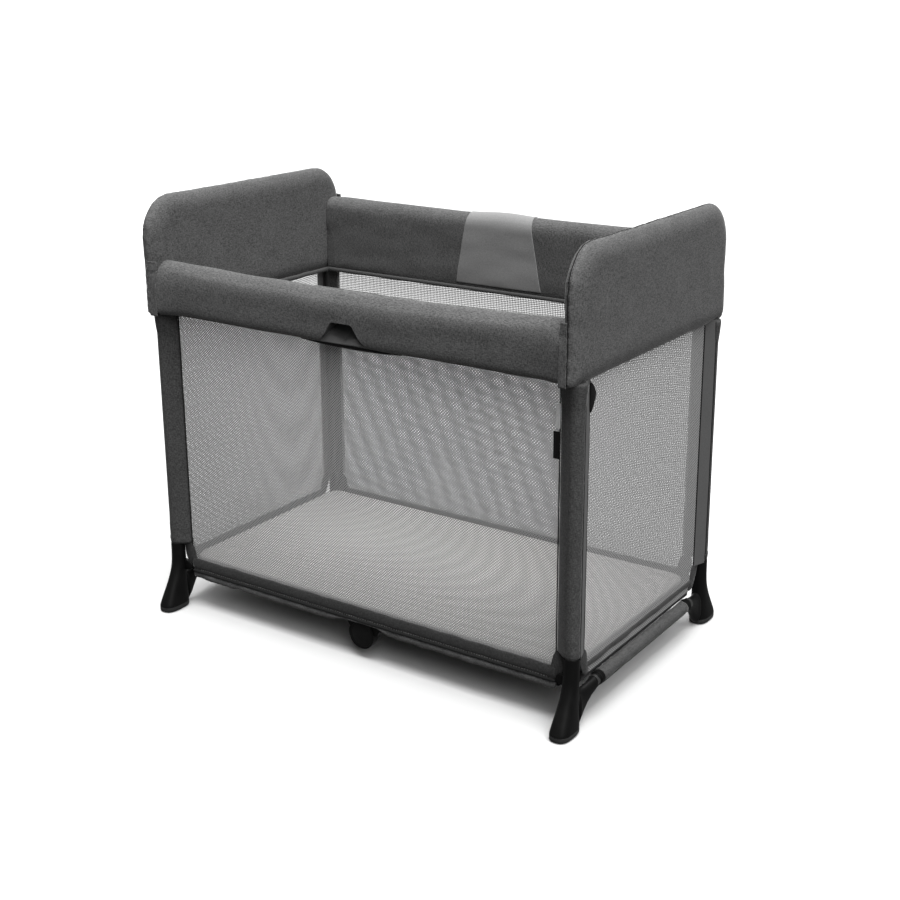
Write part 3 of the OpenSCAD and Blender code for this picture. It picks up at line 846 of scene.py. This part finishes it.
def end_band():
    """Smooth seam band from the rear right leg to the end mesh."""
    touch = math.radians(tangent(WALL_X + 0.0012, END_WALL_HALF, COLUMN_R, 1))
    ax, ay = LEG_X + COLUMN_R * math.cos(touch) - 0.0006, LEG_Y + COLUMN_R * math.sin(touch)
    bx, by = WALL_X + 0.0013, END_WALL_HALF - 0.0008
    rings = []
    for z in spread(HEM_Z - 0.004, BAND_Z + 0.0065, 60):
        outer = [(ax + (bx - ax) * t + 0.0006 * math.sin(math.pi * t), ay + (by - ay) * t)
                 for t in spread(0, 1, 7)]
        rings.append([(x, y, z) for x, y in outer + [(x - 0.0016, y) for x, y in reversed(outer)]])
    band = loft("end_band_rr", rings, SEAM_BAND)
    along_normals(band, rumple(points(band), 0.0007, (0.03, 0.03, 0.06), 12.0))
    keep_edges(band, 50)
    return band


def leg_sleeve():
    """Cloth sleeve of the rear right leg, with a hem at its foot and a loose cuff at its top."""
    rings = []
    for z in spread(HEM_Z, BAND_Z + 0.0065, 84):
        hem = 0.0007 if z < HEM_Z + 0.016 else 0.0
        cuff = 0.0032 * min(max((z - (BAND_Z - 0.042)) / 0.042, 0), 1) ** 0.7
        rings.append([(x, y, z) for x, y in wrap_section(hem + cuff)])
    # the darker copy of the cloth paints shade on the leg's sleeve
    sleeve = loft("sleeve_rr_cloth", rings, FABRIC_PAINTED_SHADE)
    refine(sleeve)
    where = points(sleeve)
    end = np.exp(-(where[:, 2] - HEM_Z) / 0.05) + np.exp(-(BAND_Z - where[:, 2]) / 0.04)
    along_normals(sleeve, rumple(where, 0.0013, (0.011, 0.011, 0.25), 2.0)
                  + rumple(where, 0.0016, (0.03, 0.03, 0.025), 5.0) * end)
    return sleeve


def leg_details(sx, sy):
    """Piping at the seams of the leg's cloth, and the stitch lines of its hem."""
    body = END_BODY[sx]
    code = CODE[sx, sy]
    levels = spread(HEM_Z - 0.004, BAND_Z - 0.001, 40)
    touch = wrap_section()[14]
    lines = (("wall_piping_", WALL_END - 0.0036, WALL_Y + 0.0010, 0.0012),
             ("end_piping_", WALL_X + 0.0012, END_WALL_HALF - 0.0006, 0.0012),
             ("band_seam_", touch[0] - 0.0002, touch[1] - 0.0012, 0.0009))
    for name, x, y, r in lines:
        path = [(sx * x, sy * y, z) for z in levels]
        settle(tube(name + code, path, r, PIPING, 8), body, "melange_fabric")
    for k, z in enumerate((HEM_Z + 0.0145, HEM_Z + 0.0115)):
        ring = [(sx * x, sy * y, z) for x, y in wrap_section(0.0010)[:16]]
        settle(stitches("hem_stitches_%d_%s" % (k + 1, code), ring), body, "melange_fabric")


# ---- Mesh walls ----


def grid_sheet(name, outline_at, columns, rows, material):
    """Sheet from a function of (s, t), both 0 to 1."""
    verts = [outline_at(i / columns, j / rows) for j in range(rows + 1) for i in range(columns + 1)]
    faces = [(j * (columns + 1) + i, j * (columns + 1) + i + 1, (j + 1) * (columns + 1) + i + 1,
              (j + 1) * (columns + 1) + i) for j in range(rows) for i in range(columns)]
    return make(name, verts, faces, material)


WALL_TOP = BAND_Z + 0.004


def side_net(sx, sy):
    """Half of a long mesh wall, on its own end, with its own copy of the mesh."""
    cut_in, cut_up = 0.010, HEM_Z - 0.004

    def place(s, t):
        z = WALL_FOOT + (WALL_TOP - WALL_FOOT) * t
        lift = min(max((cut_up - z) / (cut_up - WALL_FOOT), 0), 1)
        x = s * (WALL_END - cut_in * lift)
        give = 0.0015 * math.sin(math.pi * t) * math.cos(math.pi * x / WALL_END / 2)
        return (sx * x, sy * (WALL_Y + give), z)

    wall = grid_sheet("side_net_" + CODE[sx, sy], place, 60, 72, NET if sy < 0 else NET_FAR)
    settle(wall, END_BODY[sx], "mesh_fabric", "sidewall_" + CODE[sx, sy])
    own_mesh(wall)


def end_net(sx):
    corner = 0.012

    def place(s, t):
        z = END_WALL_FOOT + (WALL_TOP - END_WALL_FOOT) * t
        rise = min(max((z - END_WALL_FOOT) / (4 * corner), 0), 1)
        half = END_WALL_HALF - corner * (1 - rise)
        y = (2 * s - 1) * half
        give = 0.0015 * math.sin(math.pi * t) * math.cos(math.pi * y / END_WALL_HALF / 2)
        return (sx * (WALL_X + give), y, z)

    wall = grid_sheet("end_net_" + END_NAME[sx], place, 50, 60, NET_END if sx > 0 else NET_FAR)
    settle(wall, END_BODY[sx], "mesh_fabric", "endwall_" + END_NAME[sx][0])


def corner_bindings(sx, sy):
    """Dark gussets that close the lower corners of the side wall and the end wall."""
    body = END_BODY[sx]
    top, foot = HEM_Z + 0.003, WALL_FOOT + 0.004
    by_leg = LEG_X - COLUMN_R + 0.0005
    side = [(WALL_END - 0.007, top), (by_leg, top), (by_leg, top - 0.020), (by_leg - 0.002, foot + 0.024),
            (WALL_END + 0.006, foot + 0.006), (WALL_END - 0.006, foot - 0.002),
            (WALL_END - 0.026, foot - 0.002), (WALL_END - 0.015, foot + 0.019)]
    end = [(END_WALL_HALF - 0.009, top), (END_WALL_HALF + 0.024, top), (END_WALL_HALF + 0.018, top - 0.014),
           (END_WALL_HALF + 0.006, foot + 0.018), (END_WALL_HALF - 0.004, foot + 0.002),
           (END_WALL_HALF - 0.024, foot + 0.002), (END_WALL_HALF - 0.016, foot + 0.021)]
    for name, outline, place, level in (
            ("corner_tape_side_", side, lambda u, v, w: (sx * u, sy * w, v), WALL_Y - 0.0006),
            ("corner_tape_end_", end, lambda u, v, w: (sx * w, sy * u, v), WALL_X - 0.0004)):
        piece = plate(name + CODE[sx, sy], rounded(outline, 2), place, level, 0.0024, BORDER, 0.0007, 2)
        settle(piece, body, "melange_fabric")


def end_border(sx):
    """Rolled border under the end mesh, a black flap below it that paints in the shade there, and the pale edge
    that closes it.
    """
    half = END_WALL_HALF - 0.006
    ys = spread(-half, half, 110)

    def soft(y, seed, amount, size=0.05):
        return noise.noise(Vector((y / size, seed, sx * 3.0))) * amount

    section = [(-0.0006, 0.0240), (0.0014, 0.0232), (0.0028, 0.0200), (0.0030, 0.0160), (0.0016, 0.0120),
               (-0.0020, 0.0085), (-0.0080, 0.0060), (-0.0100, 0.0080), (-0.0060, 0.0150), (-0.0022, 0.0210)]
    rings = []
    for y in ys:
        swing = soft(y, 1.0, 0.0016)
        rings.append([(sx * (WALL_X + a + swing), y, END_WALL_FOOT + b + soft(y, 2.0, 0.0014))
                      for a, b in section])
    band = loft("end_border_" + END_NAME[sx], rings, BORDER)
    refine(band)
    edge = tube("end_border_edge_" + END_NAME[sx],
                [(sx * (WALL_X - 0.0040 + soft(y, 5.0, 0.0008)), y,
                  END_WALL_FOOT + 0.0035 + soft(y, 6.0, 0.0010)) for y in ys], 0.0017, BINDING, flat=1.4)
    # black flap hanging inside, under the border: painted shade, a dark sheet where there is only shadow
    hanging = [(-0.0080, 0.0080), (-0.0060, 0.0), (-0.0080, -0.0150), (-0.0095, -0.0150), (-0.0100, 0.0060)]
    flap = loft("end_border_flap_" + END_NAME[sx],
                [[(sx * (WALL_X + a), y, END_WALL_FOOT + b + soft(y, 8.0, 0.0010)) for a, b in hanging]
                 for y in ys], PAINTED_SHADE_BLACK)
    for piece in (band, edge, flap):
        settle(piece, END_BODY[sx], "melange_fabric")


# ---- Feet and end bars ----


def squared(value, power):
    """A sine or cosine raised to the power, with its sign kept."""
    return math.copysign(abs(value) ** power, value)


def oval(cy, half_x, half_y, z, power):
    """Superellipse round the rear right leg's axis in x, with its middle at y = cy."""
    return [(LEG_X + half_x * squared(math.cos(t), 2 / power), cy + half_y * squared(math.sin(t), 2 / power), z)
            for t in circle(48)]


SOLE_AHEAD = 0.02175      # middle of the sole, from the leg's axis
# level, back, front, half width, squareness of a foot, from its top down
FOOT_LEVELS = [
    (0.1465, -0.0150, 0.0150, 0.0150, 2.0), (0.1300, -0.0150, 0.0152, 0.0150, 2.0),
    (0.1120, -0.0150, 0.0160, 0.0151, 2.0), (0.0950, -0.0150, 0.0185, 0.0152, 2.05),
    (0.0780, -0.0148, 0.0245, 0.0155, 2.15), (0.0600, -0.0145, 0.0330, 0.0163, 2.3),
    (0.0430, -0.0140, 0.0420, 0.0176, 2.5), (0.0280, -0.0136, 0.0500, 0.0193, 2.6),
    (0.0170, -0.0132, 0.0550, 0.0206, 2.7), (0.0125, -0.0130, 0.0565, 0.0210, 2.7),
]


def smooth_rows(rows, per_step):
    """Catmull-Rom rows between the given ones."""
    rows = [np.array(r) for r in rows]
    rows = [2 * rows[0] - rows[1]] + rows + [2 * rows[-1] - rows[-2]]
    out = []
    for k in range(1, len(rows) - 2):
        p0, p1, p2, p3 = rows[k - 1:k + 3]
        for s in range(per_step):
            t = s / per_step
            out.append(0.5 * (2 * p1 + (p2 - p0) * t + (2 * p0 - 5 * p1 + 4 * p2 - p3) * t * t
                              + (3 * p1 - p0 - 3 * p2 + p3) * t ** 3))
    return out + [rows[-2]]


def foot_body():
    """Boot of the rear right foot."""
    rings = []
    for z, back, front, half, power in smooth_rows(FOOT_LEVELS, 4):
        rings.append(oval(LEG_Y + (front + back) / 2, half, (front - back) / 2, z, power))
    foot = loft("boot_rr", rings, BLACK)
    keep_edges(foot, 40)
    return foot


def foot_sole():
    rings = []
    for z, grow in ((0.0121, -0.0012), (0.0105, -0.0012), (0.0103, 0.0), (0.0040, 0.0), (0.0012, -0.0018),
                    (0.0, -0.0045)):
        rings.append(oval(LEG_Y + SOLE_AHEAD, 0.021 + grow, 0.03475 + grow, z, 2.7))
    sole = loft("sole_rr", rings, RUBBER)
    keep_edges(sole, 40)
    return sole


def bar_gusset():
    """Gusset from the rear right foot down and along to the end bar's collar."""
    collar = high("barsleeve_r").y + 0.0003
    r = 0.0135
    # distance past the collar's root, middle height, half height, half thickness
    rows = [(0.004, 0.000, 0.0118, 0.0118), (0.014, -0.0005, 0.0120, 0.0112),
            (0.024, -0.0030, 0.0128, 0.0100), (0.036, -0.0080, 0.0150, 0.0092),
            (0.048, -0.0150, 0.0190, 0.0096), (0.060, -0.0235, 0.0245, 0.0108),
            (0.070, -0.0300, 0.0300, 0.0122), (0.078, -0.0330, 0.0340, 0.0135)]
    rings = []
    for y, z, high_half, thick in smooth_rows(rows, 4):
        slide = BAR_X + (LEG_X + 0.001 - BAR_X) * ease((y - 0.02) / 0.055)
        rings.append([(slide + thick * squared(math.cos(t), 0.85), collar + y,
                       BAR_Z + z + high_half * squared(math.sin(t), 0.85))
                      for t in circle(36)])
    arm = loft("bar_arm_rr", rings, BLACK)
    groove = r - 0.0009
    profile = [(0.0, 0.0116), (0.0, r - 0.001), (0.0008, r), (0.0035, r), (0.0040, groove), (0.0048, groove),
               (0.0053, r), (0.0075, r), (0.0080, groove), (0.0088, groove), (0.0093, r),
               (0.0118, r), (0.0140, r - 0.0025), (0.0145, 0.009)]
    ring = turned("bar_collar_rr", profile, (BAR_X, collar, BAR_Z), (0, 1, 0), BLACK)
    keep_edges(ring, 40)
    return arm, ring


def floor_lug():
    """Lug on the rear right foot that carries the floor's end pivot."""
    half, inner_y, thick = 0.010, 0.2570, 0.2690 - 0.2570
    outline = arc(FLOOR_PIVOT_X, FLOOR_PIVOT_Z, half, 270, 90, 16)
    outline += [(LEG_X - 0.004, FLOOR_PIVOT_Z + half), (LEG_X - 0.004, FLOOR_PIVOT_Z - half - 0.006)]
    return plate("floor_lug_rr", outline, lambda u, v, w: (u, w, v), inner_y, thick, BLACK)


def feet():
    parts = [foot_body(), floor_lug(), *bar_gusset()]
    sole = foot_sole()
    for sx in SIDES:
        for sy in SIDES:
            code, body = CODE[sx, sy], END_BODY[sx]
            for part in parts:
                piece = corner_copy(part, part.name.replace("_rr", "_" + code) + "_part", sx, sy)
                settle(piece, body, "black_plastic", "foot_" + code)
            piece = corner_copy(sole, "sole_" + code, sx, sy)
            settle(piece, body, "rubber_sole", "soles_" + END_NAME[sx][0])
    for part in parts + [sole]:
        bpy.data.objects.remove(part)


def bar_cloth(sx):
    """Cloth sleeve of an end bar, with a hem seam along its underside."""
    reach = high("barsleeve_r").y
    stations = spread(-reach, reach, 90)
    rings = []
    for y in stations:
        rings.append([(sx * (BAR_X + 0.0129 * math.cos(t)), y, BAR_Z + 0.0129 * math.sin(t))
                      for t in circle(28)])
    # the darker copy of the cloth paints shade on the end bar's sleeve
    cloth = loft("bar_cloth_" + END_NAME[sx], rings, FABRIC_PAINTED_SHADE)
    where = points(cloth)
    along_normals(cloth, rumple(where, 0.0012, (0.02, 0.03, 0.02), 4.0 + sx))
    settle(cloth, END_BODY[sx], "melange_fabric", "barsleeve_" + END_NAME[sx][0])
    seam = tube("bar_seam_" + END_NAME[sx],
                [(sx * (BAR_X + 0.006), y, BAR_Z - 0.0122) for y in stations], 0.0012, PIPING, 8)
    settle(seam, END_BODY[sx], "melange_fabric")


# ---- Floor ----


def mattress():
    """One padded mattress over the whole floor."""
    inset = 0.0015
    half, end, r = PAD_HALF - inset, PAD_END - inset, 0.030
    outline = []
    for cx, cy, a in ((end - r, half - r, 0), (-end + r, half - r, 90), (-end + r, -half + r, 180),
                      (end - r, -half + r, 270)):
        outline += arc(cx, cy, r, a, a + 90, 8)
    pad = plate("mattress_pad", outline, lambda u, v, w: (u, v, w), FLOOR_TOP + 0.0008,
                PAD_TOP - FLOOR_TOP - 0.0036, SPACER, edge=0)
    bevel(pad, 0.007, 4, 50)
    puff(pad, 0.0065, 4.0)
    refine(pad)
    where = points(pad)
    where[:, 2] = np.maximum(where[:, 2], FLOOR_TOP + 0.0003)
    set_points(pad, where)
    settle(pad, None, "mattress_fabric", "mattress_l", "mattress_r")
    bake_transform(pad)


def floor_edge(sy):
    """The bag's lower border along a long side: band, piping and the wavy strip under it."""
    reach = WALL_END - 0.003
    xs = spread(-reach, reach, 170)

    def wave(x, seed, amount, size=0.035):
        return noise.noise(Vector((x / size, seed, sy * 2.0))) * amount

    band_rings = []
    for x in xs:
        out = WALL_Y + 0.0012 + wave(x, 1.0, 0.0012)
        top = WALL_FOOT + 0.0300 + wave(x, 2.0, 0.002)
        foot = WALL_FOOT + 0.003
        ring = [(out - 0.0012, top), (out + 0.0006, top - 0.002), (out + 0.0022, (top + foot) / 2),
                (out + 0.0014, foot + 0.002), (out - 0.0010, foot), (out - 0.0028, (top + foot) / 2)]
        band_rings.append([(x, sy * y, z) for y, z in ring])
    band = loft("border_band_" + ROW_NAME[sy], band_rings, BORDER)
    piping = tube("border_piping_" + ROW_NAME[sy],
                  [(x, sy * (WALL_Y + 0.0012 + wave(x, 1.0, 0.0012)), WALL_FOOT - 0.0012) for x in xs],
                  0.0036, PIPING)
    strip_rings, strip_foot, strip_back = [], 0.0685, 0.0800
    for x in xs:
        drop = wave(x, 7.0, 0.0042, 0.028) + wave(x, 9.0, 0.002, 0.011)
        drop = max(drop + 0.019 * math.exp(-(x / 0.058) ** 4), -0.004)
        out = WALL_Y + 0.0005 + wave(x, 3.0, 0.0030)
        ring = [(out - 0.004, WALL_FOOT - 0.003), (out + 0.0005, WALL_FOOT - 0.004),
                (out + 0.0030, WALL_FOOT - 0.0075), (out + 0.0020, strip_foot + 0.002 + drop * 0.8),
                (out - 0.0020, strip_foot + drop * 0.8), (out - 0.0050, strip_back)]
        strip_rings.append([(x, sy * y, z) for y, z in ring])
    strip = loft("border_strip_" + ROW_NAME[sy], strip_rings, FABRIC)
    for piece in (band, piping, strip):
        refine(piece)
        settle(piece, None, "melange_fabric")
        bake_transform(piece)


def rail_cloth(sx, sy):
    """Cloth sleeve of a floor rail."""
    lo, hi = low("basesleeves_r").x, high("basesleeves_r").x
    stations = spread(lo, hi, 70)
    rings = [[(sx * x, sy * (RAIL_Y + 0.0116 * math.cos(t)), RAIL_Z + 0.0116 * math.sin(t))
              for t in circle(24)] for x in stations]
    # the darker copy of the cloth paints shade on the floor rail's sleeve
    cloth = loft("rail_cloth_" + CODE[sx, sy], rings, FABRIC_PAINTED_SHADE)
    along_normals(cloth, rumple(points(cloth), 0.0009, (0.03, 0.02, 0.02), 8.0))
    settle(cloth, "base_" + END_NAME[sx], "melange_fabric", "basesleeves_" + END_NAME[sx][0])


def hub(sy):
    """Round hub under the middle of a floor rail: two leaves, a ringed cap and the sockets."""
    split, r, leaf = 0.2469, 0.031, 0.0116      # y between the leaves, their radius and thickness
    inner = [(0, 0.010), (0, r - 0.002), (0.0008, r - 0.0006), (0.0022, r), (leaf - 0.0004, r),
             (leaf - 0.0002, r - 0.003)]
    outer = [(0.0002, r - 0.003), (0.0004, r - 0.0006), (0.0030, r - 0.0003), (0.0065, r - 0.0014),
             (leaf - 0.0024, r - 0.0030), (leaf - 0.0008, r - 0.0034), (leaf, r - 0.0040),
             (leaf - 0.0026, r - 0.0041), (leaf - 0.0026, 0.010)]
    cap_profile = [(0.0, 0.020), (0.0, 0.0262), (0.0022, 0.0262), (0.0030, 0.0255), (0.0032, 0.0242),
                   (0.0030, 0.0238), (0.0016, 0.0236), (0.0016, 0.0226), (0.0030, 0.0224), (0.0033, 0.0218),
                   (0.0036, 0.012), (0.0037, 0.0)]
    back, front, cap = (
        turned(name + ROW_NAME[sy], profile, (0, sy * y, HUB_Z), (0, sy, 0), material, sides)
        for name, profile, y, material, sides in (
            ("hub_inner_", inner, split - leaf - 0.0002, BLACK, 64),
            ("hub_outer_", outer, split + 0.0002, BLACK, 64),
            ("hub_cap_", cap_profile, split + leaf - 0.0026, BLACK_FINE, 72)))
    for piece in (back, front, cap):
        keep_edges(piece, 40)
    settle(back, "base_left", "black_plastic")
    settle(front, "base_right", "black_plastic")
    settle(cap, "base_right", "hub_cap")


def dress_cad():
    """Materials for the CAD nodes that stay in view or inside."""
    finishes = {
        "leg_": TUBE, "hoop_": TUBE, "endbar_": TUBE, "baserails_": TUBE, "toprail_": RAIL, "pins_": STEEL,
        "railends_": BLACK, "brackets_": BLACK, "trigger_": TRIGGER, "baseends_": BLACK, "hub_": BLACK,
        "hubpins": BLACK_FINE, "board_": BOARD,
    }
    for name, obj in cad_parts.items():
        for start, mat in finishes.items():
            if name.startswith(start):
                if not obj.material_slots:
                    obj.data.materials.append(mat)
                for s in obj.material_slots:
                    s.material = mat


# ---- Small pieces at the front right leg ----


def labels():
    """A short pull tab on the end side and two blank label loops at the wall's seam."""
    y0 = -END_WALL_HALF
    tab_outline = rounded([(y0 - 0.006, 0.655), (y0 + 0.003, 0.652), (y0 + 0.012, 0.640), (y0 + 0.017, 0.630),
                           (y0 + 0.012, 0.617), (y0 + 0.002, 0.601), (y0 - 0.006, 0.600)], 2)
    tab = plate("pull_tab", tab_outline, lambda u, v, w: (w, u, v), WALL_X + 0.0030, 0.0024, BLACK, 0.0006, 2)
    settle(tab, "right_end", "black_plastic")
    for name, z0, z1, reach, mat in (("label_dark", 0.516, 0.566, 0.013, LABEL_BLACK),
                                     ("label_pale", 0.572, 0.617, 0.009, LABEL_PALE)):
        x1 = WALL_END - 0.002
        piece = plate(name, [(x1 - reach, z0), (x1, z0), (x1, z1), (x1 - reach, z1)],
                      lambda u, v, w: (u, w, v), -(WALL_Y + 0.0045), 0.0016, mat, 0.0005, 2)
        settle(piece, "right_end", "melange_fabric")


# ---- Build ----


def build():
    dress_cad()
    pad = panel_pad()
    pads = {1: pad, -1: copy_of(pad, "panel_pad_left")}
    set_points(pads[-1], points(pad) - (PANEL_IN + PANEL_OUT, 0, 0))
    for sx in SIDES:
        settle(pads[sx], END_BODY[sx], "melange_fabric", "panel_" + END_NAME[sx][0])
        panel_seams(sx, pads[sx])
        end_net(sx)
        end_border(sx)
        bar_cloth(sx)
    sleeve, band = leg_sleeve(), end_band()
    for sx in SIDES:
        for sy in SIDES:
            piece = corner_copy(sleeve, "sleeve_cloth_" + CODE[sx, sy], sx, sy)
            settle(piece, END_BODY[sx], "melange_fabric", "sleeve_" + CODE[sx, sy])
            piece = corner_copy(band, "end_band_" + CODE[sx, sy], sx, sy)
            settle(piece, END_BODY[sx], "melange_fabric")
            leg_details(sx, sy)
            corner_bindings(sx, sy)
            side_net(sx, sy)
            rail_cloth(sx, sy)
    bpy.data.objects.remove(sleeve)
    bpy.data.objects.remove(band)
    for sy in SIDES:
        for sx in SIDES:
            corner_skin(sx, sy, pads[sx])
        rail_covers(sy)
        floor_edge(sy)
        hub(sy)
    mattress()
    feet()
    labels()


# ---- Floor, light and camera ----

WORLD_STRENGTH = 0.28


def floor():
    white = new_material("studio_white", {"Base Color": (0.33, 0.33, 0.33, 1), "Roughness": 0.9,
                                          "Specular IOR Level": 0.1})[0]
    reach = 400
    corners = [(-reach, -reach, 0), (reach, -reach, 0), (reach, reach, 0), (-reach, reach, 0)]
    sheet = make("studio_floor", corners, [(0, 1, 2, 3)], white, smooth=False)
    sheet.visible_diffuse = sheet.visible_glossy = False        # it throws no light back on the cot


def sky_lamp(name, strength, softness, height, around):
    """Even light on the whole floor, from far away, as from a wide diffuser."""
    data = bpy.data.lights.new(name, "SUN")
    data.energy, data.angle = strength, math.radians(softness)
    obj = bpy.data.objects.new(name, data)
    bpy.context.scene.collection.objects.link(obj)
    up, turn = math.radians(height), math.radians(around)
    away = Vector((math.cos(up) * math.cos(turn), math.cos(up) * math.sin(turn), math.sin(up)))
    obj.rotation_euler = away.to_track_quat("Z", "Y").to_euler()


def studio():
    world = bpy.data.worlds.new("studio")
    bpy.context.scene.world = world
    world.use_nodes = True
    back = world.node_tree.nodes["Background"]
    seen = add(world.node_tree, "ShaderNodeLightPath", {}).outputs["Is Camera Ray"]
    strength = plus(world.node_tree, seen, WORLD_STRENGTH)      # white to the eye, dim as a lamp
    feed(world.node_tree, back, {"Color": (1, 1, 1, 1), "Strength": strength})
    sky_lamp("overhead", 8.8, 46, 85, -40)
    sky_lamp("key", 4.2, 50, 46, -28)
    sky_lamp("fill", 1.7, 90, 32, 140)
    bpy.context.scene.view_settings.view_transform = "Standard"


def camera():
    """The photograph's view: a long lens from the front right, with a small shift."""
    data = bpy.data.cameras.new("camera")
    data.sensor_width, data.lens = 36, 56.46
    data.shift_y = -0.05
    obj = bpy.data.objects.new("camera", data)
    bpy.context.scene.collection.objects.link(obj)
    obj.location = (1.6081, -2.2804, 1.3238)
    yaw, pitch, roll = math.radians(34.48), math.radians(17.02), math.radians(-0.33)
    ahead = Vector((-math.sin(yaw) * math.cos(pitch), math.cos(yaw) * math.cos(pitch), -math.sin(pitch)))
    turn = ahead.to_track_quat("-Z", "Y").to_matrix() @ Matrix.Rotation(roll, 3, "Z")
    obj.rotation_euler = turn.to_euler()
    data.clip_start, data.clip_end = 0.05, 1000
    bpy.context.scene.camera = obj


build()
floor()
studio()
camera()
